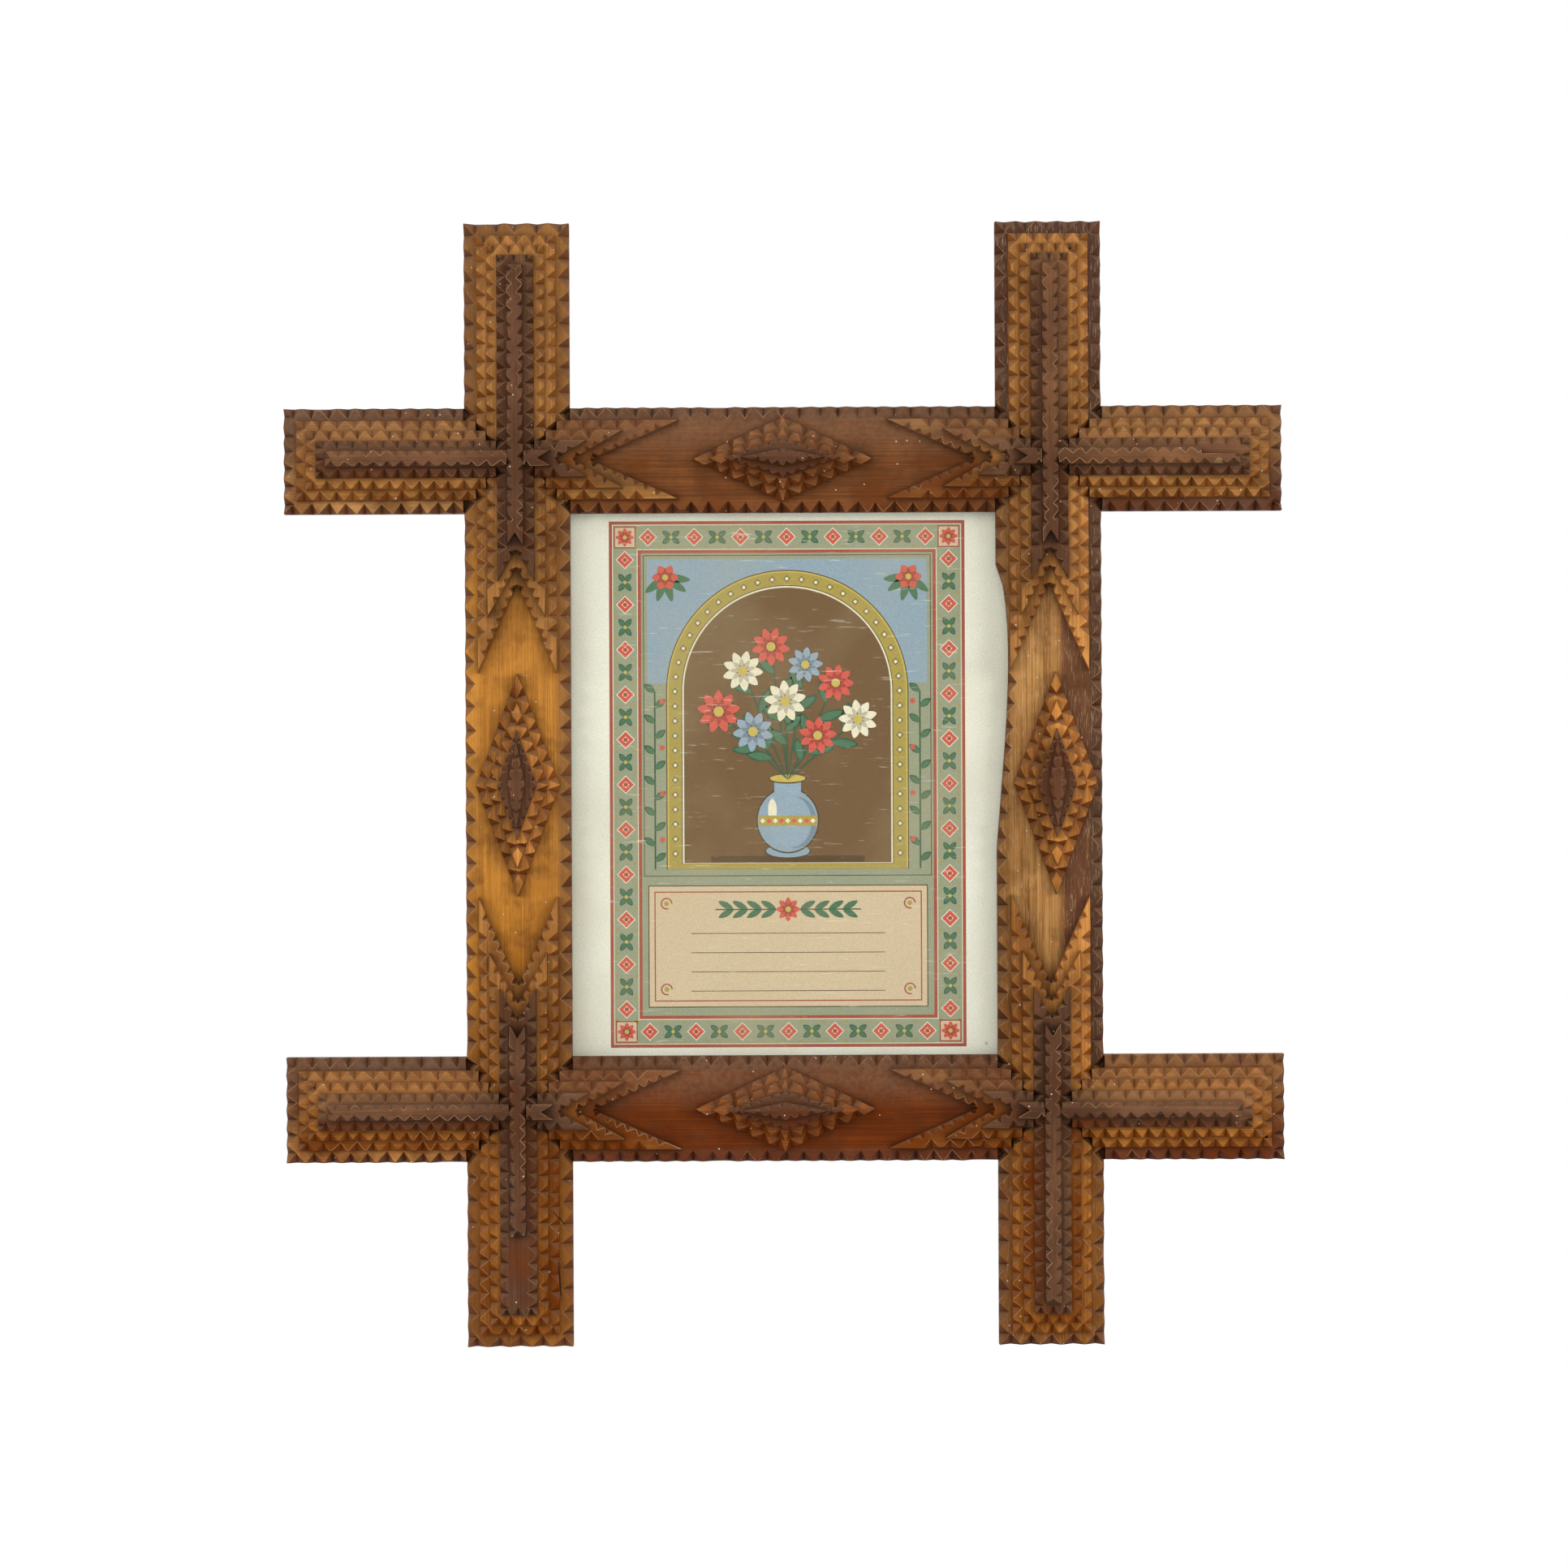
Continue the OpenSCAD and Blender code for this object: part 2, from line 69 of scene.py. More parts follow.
MM = 0.001
CAD_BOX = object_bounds()
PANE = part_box("glass_pane")
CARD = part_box("printed_card")
RIGHT_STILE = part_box("right_stile")
TOP_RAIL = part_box("top_rail")
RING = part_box("hanging_ring")
CENTRE_Z = (PANE[0].z + PANE[1].z) / 2
STILE_X = (RIGHT_STILE[0].x + RIGHT_STILE[1].x) / 2
RAIL_Z = (TOP_RAIL[0].z + TOP_RAIL[1].z) / 2 - CENTRE_Z
RAIL_HALF = TOP_RAIL[1].x
STILE_HALF = RIGHT_STILE[1].z - CENTRE_Z
BOARD_HALF = (TOP_RAIL[1].z - TOP_RAIL[0].z) / 2
BOARD_FRONT = TOP_RAIL[0].y
# The boards' toothed edges show as rows of their own colours, which blend over twice the blur
BASE_LEDGE = 6.5 * MM
LEDGE_BLUR = 0.8 * MM
# Hairline cracks across and along the lower left stile's arm
CRACKS = [
    (Vector((x * MM - STILE_X, 0, CENTRE_Z - z * MM)), Vector((to_x * MM - STILE_X, 0, CENTRE_Z - to_z * MM)))
    for x, z, to_x, to_z in ((15, 207.6, 22, 216.6), (19, 235, 20, 252))]
# A flat top's edge is a tooth's tip when it is shorter than the land, and a tooth's side when it is longer
# than the flank. Slivers are what a cut-off notch leaves.
TOOTH_LAND = 1.2 * MM
TOOTH_FLANK = 2 * MM
SLIVER = 0.5 * MM
SHARP_CORNER = math.radians(80)
# Shares of the mean wear and of a full chip that a tip can lose, and the most that it loses of its flank
TIP_SPREAD = (0.3, 1.5)
CHIP_SPREAD = (0.5, 1.0)
MOST_LOSS = 0.3
# Edges that turn more than this are worn round, but not at the narrow ends of a flat top
ROUNDED_TURN = math.radians(22)
NARROW_END = math.radians(14)
# Edges below the rim of a flat top have this share of its wear and painted highlight
RIM_DEPTH = 0.5 * MM
LOWER_WEAR = 0.4
# Wear of the bare wood at a break: the rims' wear with its painted highlight stays under 1
BROKEN = 1.6
# A piece with dark ends gets darker from this far off its middle, and is darkest after the run
DARK_START = 28 * MM
DARK_RUN = 22 * MM
# The paper's face lies this far behind the solid's, and the inks one above the other in front of it
INK_ROOM = 0.2 * MM
INK_FILM = 0.012 * MM


def linear(code):
    """Linear colour with alpha of an sRGB hex value."""
    parts = [int(code[i:i + 2], 16) / 255 for i in (1, 3, 5)]
    return tuple(p / 12.92 if p <= 0.04045 else ((p + 0.055) / 1.055) ** 2.4 for p in parts) + (1.0,)


def colour(name, description, code):
    """A colour setting with its default from a hex value."""
    return bpy.props.FloatVectorProperty(
        name=name, description=description, default=linear(code)[:3], size=3, min=0, max=1, subtype="COLOR")


def length(name, description, millimetres):
    """A length setting with its default in millimetres."""
    return bpy.props.FloatProperty(
        name=name, description=description, default=millimetres * MM, min=0, precision=5, unit="LENGTH")


def power(name, description, watts):
    """A lamp's power setting with its default in watts."""
    return bpy.props.FloatProperty(name=name, description=description, default=watts, min=0, unit="POWER")


def opaque(rgb):
    """A colour with full alpha."""
    return (*rgb[:3], 1.0)


class FrameWood(bpy.types.PropertyGroup):
    """Sizes and colours of the carved wood."""

    edge_round: length("Edge rounding", "Width of the worn round on every sharp edge", 0.18)
    small_round: length("Small edge rounding", "Width of the round on the lozenges' narrow teeth", 0.05)
    tip_wear: length("Tip wear", "Length that handling took off an average tooth tip", 0.12)
    corner_wear: length("Corner wear", "Length that is gone from a sharp outer corner", 0.7)
    tip_chip: length("Tip chip", "Length that is gone from a chipped tooth tip", 1.6)
    chip_share: bpy.props.FloatProperty(
        name="Chipped teeth", description="Share of the teeth that lost their tips", default=0.06,
        min=0, max=1, subtype="FACTOR")
    golden: colour("Golden wood", "Lit grain of the two lower layers", "#b27e44")
    golden_deep: colour("Golden wood, dark grain", "Dark grain of the two lower layers", "#92602f")
    golden_cut: colour("Golden wood, cut", "Knife-cut facets of the two lower layers", "#764419")
    plum: colour("Dark wood", "Lit grain of the two upper layers", "#6a4935")
    plum_deep: colour("Dark wood, dark grain", "Dark grain of the two upper layers", "#4f3323")
    plum_cut: colour("Dark wood, cut", "Knife-cut facets of the two upper layers", "#462a1a")
    rail: colour("Rail field", "Lit grain of the plain rail", "#764624")
    rail_deep: colour("Rail field, dark grain", "Dark grain of the plain rail", "#59351a")
    stile: colour("Stile field", "Lit grain of the plain stile", "#c4863a")
    stile_deep: colour("Stile field, dark grain", "Dark grain of the plain stile", "#a16827")
    stain: colour("Stain", "Brown stain over part of the right stile", "#6d4731")
    russet: colour("Russet", "Redder varnish on the dark strips and sides", "#6b3613")
    # Sooty varnish: painted shade next to the crossings, and the darker varnish of the tails
    shade_and_tail_varnish: colour("Sooty varnish", "Old varnish in the crossings and tails", "#3d2516")
    # Dust: old dust in the varnish of upward faces, with the painted sheen of the light from above on them
    dust_and_sheen_colour: colour("Dust", "Old dust in the varnish of upward faces", "#86654c")
    # Grime: dirt and painted shade in the inner corners, and the colour of the cracks
    grime_and_shade: colour("Grime", "Dirt in the inner corners", "#2b180d")
    # Raw wood: bare wood at worn edges and breaks, and the painted highlight along the rims
    raw_and_highlight: colour("Raw wood", "Bare wood at worn edges and breaks", "#b98f66")
    back: colour("Back of the boards", "Unvarnished wood on the back", "#77573a")
    pine: colour("Rebate strips", "Rough pine of the rebate strips", "#a9814f")
    backing: colour("Backboard", "Thin board behind the print", "#9a7850")


class FramePrint(bpy.types.PropertyGroup):
    """Sizes and inks of the printed card."""

    width: length("Print width", "Width of the printed field", 176)
    height: length("Print height", "Height of the printed field", 260.5)
    shift: length("Print shift", "Distance of the printed field to the right of the middle", 1.8)
    band: length("Border band", "Width of the patterned border", 12.6)
    rule: length("Border rule", "Width of the red rules on both sides of the border", 1.6)
    paper: colour("Paper", "Aged paper of the card", "#e6e2d2")
    red: colour("Rule red", "Ink of the rules", "#a2503f")
    bright_red: colour("Flower red", "Ink of the red flowers", "#c9584a")
    sage: colour("Sage", "Ink of the border's ground", "#95987e")
    green: colour("Leaf green", "Ink of the leaves", "#4d7154")
    gold: colour("Gold", "Ink of the mouldings", "#a8944a")
    cream: colour("Cream", "Ink of the light lines", "#dfd7ba")
    blue: colour("Pale blue", "Ink of the arch's spandrels", "#8ea0ac")
    brown: colour("Umber", "Ink of the arch's ground", "#735739")
    buff: colour("Buff", "Ink of the plaque", "#cdb797")
    line: colour("Line", "Ink of the thin outlines", "#57452f")


class FrameMetal(bpy.types.PropertyGroup):
    """Colours of the glass and metal."""

    brass: colour("Brass", "Clean brass of the hanger", "#a98f57")
    tarnish: colour("Tarnish", "Brown tarnish on the brass", "#54422a")
    steel: colour("Steel", "Bare steel of the nails", "#7f7d78")
    rust: colour("Rust", "Rust on the nails", "#5b3a26")
    glass: colour("Glass", "Tint of the old glass", "#fdfefd")


class FrameStage(bpy.types.PropertyGroup):
    """Camera, lamps and floor."""

    distance: length("Camera distance", "From the camera to the face of the boards", 2400)
    view_width: length("View width", "Width of the picture at the face of the boards", 772.8)
    roll: bpy.props.FloatProperty(
        name="Camera roll", description="Turn of the picture", default=math.radians(0.25), subtype="ANGLE")
    drop: length("Floor drop", "From the lowest point of the frame to the floor", 500)
    side_lamp: power("Side lamps", "Power of each side lamp", 12)
    top_lamp: power("Top lamp", "Power of the lamp above", 5.5)
    low_lamp: power("Low lamp", "Power of the lamp below", 2.5)
    back_lamp: power("Back lamp", "Power of the lamp behind", 14)
    ambient: bpy.props.FloatProperty(
        name="Ambient", description="Strength of the light from all round", default=0.5, min=0)
    floor: colour("Floor", "Colour of the floor", "#f2f1ee")


def add_node(tree, kind, inputs=(), output="", stops=(), **settings):
    """Adds a node with its settings, ramp stops, and input values or links, and gives back one output.

    The inputs are named in a dict, or come in the order of the sockets in use. The output is the first one in
    use if it isn't named.
    """
    node = tree.nodes.new("ShaderNode" + kind)
    for key, value in settings.items():
        setattr(node, key, value)
    if stops:
        elements = node.color_ramp.elements
        while len(elements) < len(stops):
            elements.new(1)
        for element, (position, shade) in zip(elements, stops):
            element.position = position
            element.color = opaque(shade)
    if isinstance(inputs, dict):
        pairs = [(node.inputs[key], value) for key, value in inputs.items()]
    else:
        pairs = zip([socket for socket in node.inputs if socket.enabled], inputs)
    for socket, value in pairs:
        if isinstance(value, bpy.types.NodeSocket):
            tree.links.new(value, socket)
        else:
            socket.default_value = opaque(value) if socket.type == "RGBA" else value
    if output:
        return node.outputs[output]
    return next((socket for socket in node.outputs if socket.enabled), None)


def new_material(name):
    """An empty node material and the function that adds its nodes."""
    material = bpy.data.materials.new(name)
    material.use_nodes = True
    material.node_tree.nodes.clear()
    return material, partial(add_node, material.node_tree)


def varnished_wood(
        name, light, deep, cut, dusty_and_sheened=False, rows=None, half=None, stained=False, filler=None, mottled=0.6,
        warm=None, crossing=None, crossing_shade=0.0, tail_dim=0.0, low_shade_value=None, cracks=()):
    """Old shellacked softwood, split into thin boards and notched with a knife.

    The eye gets streaks along the grain, darker and redder cut facets where the varnish sank in, grey dust
    with a painted sheen on what looks up, grime and painted shade in the inner corners, painted shade by the
    crossings and low on the frame, pale worn edges that carry a painted highlight, and a dull gloss.
    """
    wood = bpy.context.scene.frame_wood
    material, add = new_material(name)
    place = add("Attribute", output="Vector", attribute_name="board_place")
    seed, tone, wear, facet = [
        add("Attribute", output="Fac", attribute_name=given)
        for given in ("piece_seed", "piece_tone", "wear", "facet")]
    spot = add("TexCoord", output="Object")
    normal = add("TexCoord", output="Normal")
    facing_back, facing_up = [add("SeparateXYZ", (normal,), axis) for axis in "YZ"]
    along, across = [add("SeparateXYZ", (place,), axis) for axis in "XY"]
    # Year rings about 0.8 mm apart run 60 mm and more before they fade. Open pores are drawn about 0.4 mm
    # wide and 5 mm long, coarser than real ones, so that they show. Patches of thicker varnish are about
    # 30 mm long and 9 mm wide.
    grains = []
    for stretch, detail, rough in (
            ((16, 1250, 1250), 4, 0.62), ((200, 2500, 2500), 1, 0.5), ((33, 110, 110), 3, 0.5)):
        fibre = add("Mapping", {"Vector": place, "Scale": stretch})
        grains.append(add("TexNoise", (fibre, seed, 1, detail, rough), noise_dimensions="4D"))
    streak, pore, patch = grains
    pore = add("MapRange", (pore, 0.56, 0.72))
    fleck = add("TexNoise", (spot, 420, 3))

    lit = add("MapRange", (streak, 0.36, 0.64))
    shade = add("Mix", (lit, deep, light), data_type="RGBA")
    coats = []
    if stained:
        ragged = add("Math", (streak, 0.010, across), operation="MULTIPLY_ADD")
        over = add("MapRange", (ragged, 0.0094, 0.0122))
        coats.append((over, wood.stain))
    if rows:
        span = add("MapRange", (along, -half, half))
        low, high = [add("ValToRGB", (span,), stops=row) for row in rows]
        side = add("MapRange", (across, -0.012, 0.012))
        edge = add("Mix", (side, low, high), data_type="RGBA")
        grain = add("MapRange", (streak, 0.3, 0.7, 0.78, 1.08))
        edge = add("HueSaturation", {"Color": edge, "Value": grain})
        rims = []
        for way, reach in ((across, BOARD_HALF), (along, half)):
            off = add("Math", (way,), operation="ABSOLUTE")
            ledge = reach - BASE_LEDGE
            rims.append(add("MapRange", (off, ledge - LEDGE_BLUR, ledge + LEDGE_BLUR)))
        rim = add("Math", rims, operation="MAXIMUM")
        coats.append((rim, edge))
    cloud = add("MapRange", (patch, 0.5, 0.75, 0, 0.55))
    open_grain = add("Math", (pore, 0.6 if filler else 0.35), operation="MULTIPLY")
    # Soot and hand grease lie in blots about 15 mm across
    soot = add("TexNoise", (spot, 65, 5, 0.6))
    soot = add("MapRange", (soot, 0.5, 0.74, 0, 0.6))
    # Knife-cut facets lean away from the front, where the varnish sank into the open grain; less of the cut
    # colour is drawn on those that look up, where the dust and painted sheen lie
    down = add("MapRange", (facing_up, 0.1, 0.7, 0.85, 0.4))
    notch = add("MapRange", (facing_back, -0.95, -0.8))
    notch = add("Math", (notch, down), operation="MULTIPLY")
    thick, thin = [tuple(share * c for c in cut) for share in (0.65, 1.3)]
    sunk = add("Mix", (facet, thick, thin), data_type="RGBA")
    coats += [(cloud, cut), (open_grain, filler or cut), (soot, linear("#4a2f1b")), (notch, sunk)]
    # Teeth differ from their neighbours: thicker and thinner varnish in spots of 8 to 25 mm
    mottle = add("TexNoise", (spot, 42, 3, 0.6))
    mottle = add("MapRange", (mottle, 0.3, 0.7, -mottled, mottled))
    tone = add("Math", (tone, mottle), operation="ADD")
    if warm:
        ruddy = add("Math", (tone, 0.25), operation="MULTIPLY", use_clamp=True)
        coats.append((ruddy, warm))
    if crossing:
        # Painted shade darkens the strips next to the crossings, where the layers meet, and the tails are
        # drawn darker towards their tips
        reach = add("Math", (along,), operation="ABSOLUTE")
        inner = add("Math", (crossing, reach), operation="SUBTRACT")
        off = add("Math", (inner,), operation="ABSOLUTE")
        off = add("MapRange", (off, 10 * MM, 34 * MM, crossing_shade, 0))
        tail = add("MapRange", (inner, 26 * MM, 40 * MM, 0, tail_dim))
        middle = add("Math", (across,), operation="ABSOLUTE")
        middle = add("MapRange", (middle, 12 * MM, 18 * MM, 1, 0.25))
        crossing_shade_and_tail = add("Math", (tail, middle, off), operation="MULTIPLY_ADD", use_clamp=True)
        coats.append((crossing_shade_and_tail, wood.shade_and_tail_varnish))
    for share, coat in coats:
        shade = add("Mix", (share, shade, coat), data_type="RGBA")

    # A strip lighter than its kind is brighter, and one darker than its kind is redder
    value = add("Math", (tone, 0.3, 1), operation="MULTIPLY_ADD")
    shade = add("HueSaturation", {"Color": shade, "Value": value})
    redder = add("Math", (tone, -0.6), operation="MULTIPLY", use_clamp=True)
    shade = add("Mix", (redder, shade, wood.russet), data_type="RGBA")
    if not warm:
        # Painted shade: low on the frame, where the light from above is weaker, the colour is drawn redder
        # and richer, and with a low shade value also darker
        high = add("SeparateXYZ", (spot,), "Z")
        hue = add("MapRange", (high, -0.38, -0.2, 0.493, 0.5))
        rich = add("MapRange", (high, -0.38, -0.2, 1.06, 1))
        shade = add("HueSaturation", {"Color": shade, "Hue": hue, "Saturation": rich})
        if low_shade_value:
            full = add("MapRange", (high, -0.26, -0.1, low_shade_value, 1))
            shade = add("HueSaturation", {"Color": shade, "Value": full})
    # Grey dust and a painted sheen of the light from above on what looks up, and on the rails' upper halves
    dust_and_sheen = add("MapRange", (facing_up, 0.1, 0.8, 0, 0.62))
    if dusty_and_sheened:
        upper = add("MapRange", (across, -0.001, 0.014, 0, 0.45))
        dust_and_sheen = add("Math", (dust_and_sheen, upper), operation="MAXIMUM")
    settled = add("MapRange", (fleck, 0.35, 0.6, 0.55, 1))
    dust_and_sheen = add("Math", (dust_and_sheen, settled), operation="MULTIPLY")
    # Grime and painted shade in the inner corners: ambient occlusion darkens them
    corner = add("AmbientOcclusion", {"Distance": 6 * MM}, "AO", samples=6)
    corner_grime_and_shade = add("MapRange", (corner, 0.25, 0.85, 0.55, 0))
    coats = [(dust_and_sheen, wood.dust_and_sheen_colour), (corner_grime_and_shade, wood.grime_and_shade)]
    for start, end in cracks:
        # A hairline crack, drawn 0.5 mm wide so that it shows
        middle = (start + end) / 2
        way = (end - start).normalized()
        inside = []
        for axis, reach in ((way, (end - start).length / 2), (way.cross(Vector((0, 1, 0))), 0.25 * MM)):
            off = add("VectorMath", (spot, axis), "Value", operation="DOT_PRODUCT")
            inside.append(add("Math", (off, middle.dot(axis), reach), operation="COMPARE"))
        coats.append((add("Math", inside, operation="MULTIPLY"), wood.grime_and_shade))
    # Pale bare wood on the worn rims, with a painted highlight along them, and at the breaks
    bare_and_highlight = add("MapRange", (patch, 0.5, 0.62, 0, 0.9))
    bare_and_highlight = add("Math", (bare_and_highlight, wear), operation="MULTIPLY", use_clamp=True)
    # Pale specks up to 0.8 mm across and some 20 mm apart: lint, and painted glints of the varnish
    drops = {"Vector": spot, "Scale": 190}
    small = add("Math", (add("TexVoronoi", drops), 0.075), operation="LESS_THAN")
    few = add("SeparateColor", (add("TexVoronoi", drops, "Color"),))
    few = add("Math", (few, 0.62), operation="GREATER_THAN")
    lint_and_glint = add("Math", (small, few), operation="MULTIPLY")
    lint_and_glint = add("Math", (lint_and_glint, 0.8), operation="MULTIPLY")
    behind = add("Math", (facing_back, 0.6), operation="GREATER_THAN")
    bare_back = add("Mix", (lit, linear("#5a3f29"), wood.back), data_type="RGBA")
    coats += [(bare_and_highlight, wood.raw_and_highlight), (lint_and_glint, linear("#cdbfa8")), (behind, bare_back)]
    for share, coat in coats:
        shade = add("Mix", (share, shade, coat), data_type="RGBA")

    rough = add("MapRange", (streak, 0.3, 0.7, 0.5, 0.36))
    dull = add("Math", (dust_and_sheen, behind), operation="MAXIMUM")
    rough = add("Math", (dull, 0.3, rough), operation="MULTIPLY_ADD")
    relief = add("Math", (pore, -0.6, streak), operation="MULTIPLY_ADD")
    bump = add("Bump", {"Height": relief, "Strength": 0.35, "Distance": 0.12 * MM})
    skin = add("BsdfPrincipled", {
        "Base Color": shade, "Roughness": rough, "Normal": bump, "Specular IOR Level": 0.06})
    add("OutputMaterial", (skin,))
    return material


def rough_wood(name, light, upright, saw):
    """Unfinished softwood, rough-sawn and gone brown with age, that shows grain, saw marks and stains."""
    material, add = new_material(name)
    spot = add("TexCoord", output="Object")
    # Year rings about 2.7 mm apart run some 140 mm
    fibre = (373.5, 373.5, 7.2) if upright else (7.2, 373.5, 373.5)
    rings = add("Mapping", {"Vector": spot, "Scale": fibre})
    streak = add("TexNoise", {
        "Vector": rings, "Scale": 1, "Detail": 5, "Roughness": 0.65, "Distortion": 0.4})
    share = add("MapRange", (streak, 0.35, 0.66))
    dark = tuple(0.5 * c for c in light)
    shade = add("Mix", (share, dark, light), data_type="RGBA")
    # Damp stains are some 40 mm across
    stain = add("TexNoise", (spot, 25, 4))
    stain = add("MapRange", (stain, 0.5, 0.7, 0, 0.55))
    shade = add("Mix", (stain, shade, linear("#5f4630")), data_type="RGBA")
    # Saw teeth left a score every 1.6 mm across the grain
    marks = add(
        "TexWave", (spot, 1 / (1.6 * MM) / 20, 2.5, 2, 1.4), "Fac", bands_direction="Z" if upright else "X")
    relief = add("Math", (marks, saw, streak), operation="MULTIPLY_ADD")
    bump = add("Bump", {"Height": relief, "Strength": 0.6, "Distance": 0.2 * MM})
    skin = add("BsdfPrincipled", {
        "Base Color": shade, "Roughness": 0.82, "Normal": bump, "Specular IOR Level": 0.25})
    add("OutputMaterial", (skin,))
    return material


def aged_metal(name, clean, aged, rough, cover):
    """Bare drawn wire gone dull: a metal gloss under patches of oxide about 3 mm across."""
    material, add = new_material(name)
    spot = add("TexCoord", output="Object")
    cloud = add("TexNoise", (spot, 330, 6, 0.65))
    oxide = add("MapRange", (cloud, 0.62 - cover / 2, 0.74 - cover / 2))
    shade = add("Mix", (oxide, clean, aged), data_type="RGBA")
    metal = add("MapRange", (oxide, 0, 1, 1, 0.35))
    gloss = add("MapRange", (oxide, 0, 1, rough, 0.75))
    bump = add("Bump", {"Height": cloud, "Strength": 0.4, "Distance": 0.1 * MM})
    skin = add("BsdfPrincipled", {
        "Base Color": shade, "Metallic": metal, "Roughness": gloss, "Normal": bump})
    add("OutputMaterial", (skin,))
    return material


def old_glass(name, tint):
    """Thin blown window glass, clear with a soft reflection and slow waves about 60 mm long."""
    material, add = new_material(name)
    spot = add("TexCoord", output="Object")
    wave = add("TexNoise", (spot, 17, 1))
    bump = add("Bump", {"Height": wave, "Strength": 0.05, "Distance": 0.5 * MM})
    mirror = add("BsdfGlossy", {"Roughness": 0.04, "Normal": bump})
    clear = add("BsdfTransparent", {"Color": tint})
    facing = add("Fresnel", {"IOR": 1.3})
    # Light that leaves the pane isn't held back, since it goes straight on through it
    inside = add("NewGeometry", output="Backfacing")
    entering = add("Math", (1, inside), operation="SUBTRACT")
    share = add("Math", (facing, entering), operation="MULTIPLY")
    pane = add("MixShader", (share, clear, mirror))
    add("OutputMaterial", (pane,))
    return material


def litho_card(name, paper):
    """Chromolithograph on thin card: flat inks with a fine stipple, foxing, scuffs and yellowed patches."""
    material, add = new_material(name)
    spot = add("TexCoord", output="Object")
    shade = add("VertexColor", layer_name="ink")
    # The stipple of the stones is drawn 0.7 mm apart, coarser than real, so that it shows
    stipple = add("TexNoise", (spot, 1400, 2))
    grey = add("MapRange", (stipple, 0.3, 0.7, 0.9, 1.08))
    shade = add("HueSaturation", {"Color": shade, "Value": grey})
    age = add("TexNoise", (spot, 14, 5))
    age = add("MapRange", (age, 0.42, 0.7, 0, 0.22))
    # Scuffs run up to 12 mm long and 0.5 mm wide
    thin = add("Mapping", {"Vector": spot, "Rotation": (0, 0.5, 0), "Scale": (80, 80, 900)})
    scuff = add("TexNoise", (thin, 1, 3))
    scuff = add("MapRange", (scuff, 0.66, 0.74, 0, 0.35))
    # Brown spots of damp, up to 2.5 mm across
    damp = {"Vector": spot, "Scale": 60}
    near = add("MapRange", (add("TexVoronoi", damp), 0.03, 0.075, 0.6, 0))
    few = add("SeparateColor", (add("TexVoronoi", damp, "Color"),))
    few = add("Math", (few, 0.9), operation="GREATER_THAN")
    fox = add("Math", (near, few), operation="MULTIPLY")
    for share, coat in ((age, linear("#b9a684")), (scuff, paper), (fox, linear("#86705a"))):
        shade = add("Mix", (share, shade, coat), data_type="RGBA")
    # The card has cockled in slow waves about 50 mm long
    cockle = add("TexNoise", (spot, 20, 1))
    bump = add("Bump", {"Height": cockle, "Strength": 0.25, "Distance": 1.5 * MM})
    skin = add("BsdfPrincipled", {
        "Base Color": shade, "Roughness": 0.7, "Normal": bump, "Specular IOR Level": 0.1})
    add("OutputMaterial", (skin,))
    return material


def merged_copy(node):
    """The solid's own skin, closed and with each flat face in one piece."""
    skin = bmesh.new()
    skin.from_mesh(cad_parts[node].data)
    bmesh.ops.remove_doubles(skin, verts=skin.verts, dist=0.01 * MM)
    bmesh.ops.dissolve_limit(skin, angle_limit=math.radians(1), verts=skin.verts, edges=skin.edges)
    return skin


def front_faces(skin, front):
    """The flat tops that the notches are cut into."""
    return [
        face for face in skin.faces
        if face.normal.y < -0.99 and abs(face.calc_center_median().y - front) < 0.02 * MM]


def close_slivers(skin, front):
    """Closes the tiny edges that a cut-off notch leaves on a flat top."""
    for top in front_faces(skin, front):
        for edge in [edge for edge in top.edges if edge.calc_length() < SLIVER]:
            if not edge.is_valid:
                continue
            one, other = edge.verts
            if len(set(one.link_faces) & set(other.link_faces)) == 2:
                bmesh.ops.collapse(skin, edges=[edge])


def blunt_teeth(skin, front, chance, wood):
    """Draws the tips of the teeth back along their own edges, and some of them further."""
    tops = front_faces(skin, front)
    sides = [face for face in skin.faces if len(face.verts) > 3 and face not in tops]
    bmesh.ops.triangulate(skin, faces=sides, ngon_method="BEAUTY")
    for top in tops:
        for corner in top.loops:
            after = corner.link_loop_next
            before = corner.link_loop_prev
            if corner.is_convex and corner.calc_angle() < SHARP_CORNER:
                if min(corner.edge.calc_length(), before.edge.calc_length()) > TOOTH_FLANK:
                    back, on = [(loop.vert.co - corner.vert.co).normalized() for loop in (before, after)]
                    corner.vert.co += (back + on).normalized() * wood.corner_wear
                    continue
            short = corner.edge.calc_length() < TOOTH_LAND
            long = min(before.edge.calc_length(), after.edge.calc_length()) > TOOTH_FLANK
            if not (short and long and corner.is_convex and after.is_convex):
                continue
            loss = wood.tip_wear * chance.uniform(*TIP_SPREAD)
            if chance.random() < wood.chip_share:
                loss = wood.tip_chip * chance.uniform(*CHIP_SPREAD)
            for vert, far in ((corner.vert, before.vert), (after.vert, after.link_loop_next.vert)):
                way = far.co - vert.co
                vert.co += way.normalized() * min(loss, MOST_LOSS * way.length)


def tight_edges(top, width):
    """Edges of a flat top that lie too close together to be rounded."""
    tight = set()
    for corner in top.loops:
        if corner.calc_angle() < NARROW_END:
            tight.update(corner.vert.link_edges)
        for edge in top.edges:
            if corner.vert in edge.verts:
                continue
            foot, share = intersect_point_line(corner.vert.co, edge.verts[0].co, edge.verts[1].co)
            if 0 <= share <= 1 and (foot - corner.vert.co).length < 3 * width:
                tight.update((edge, *corner.vert.link_edges))
    return tight


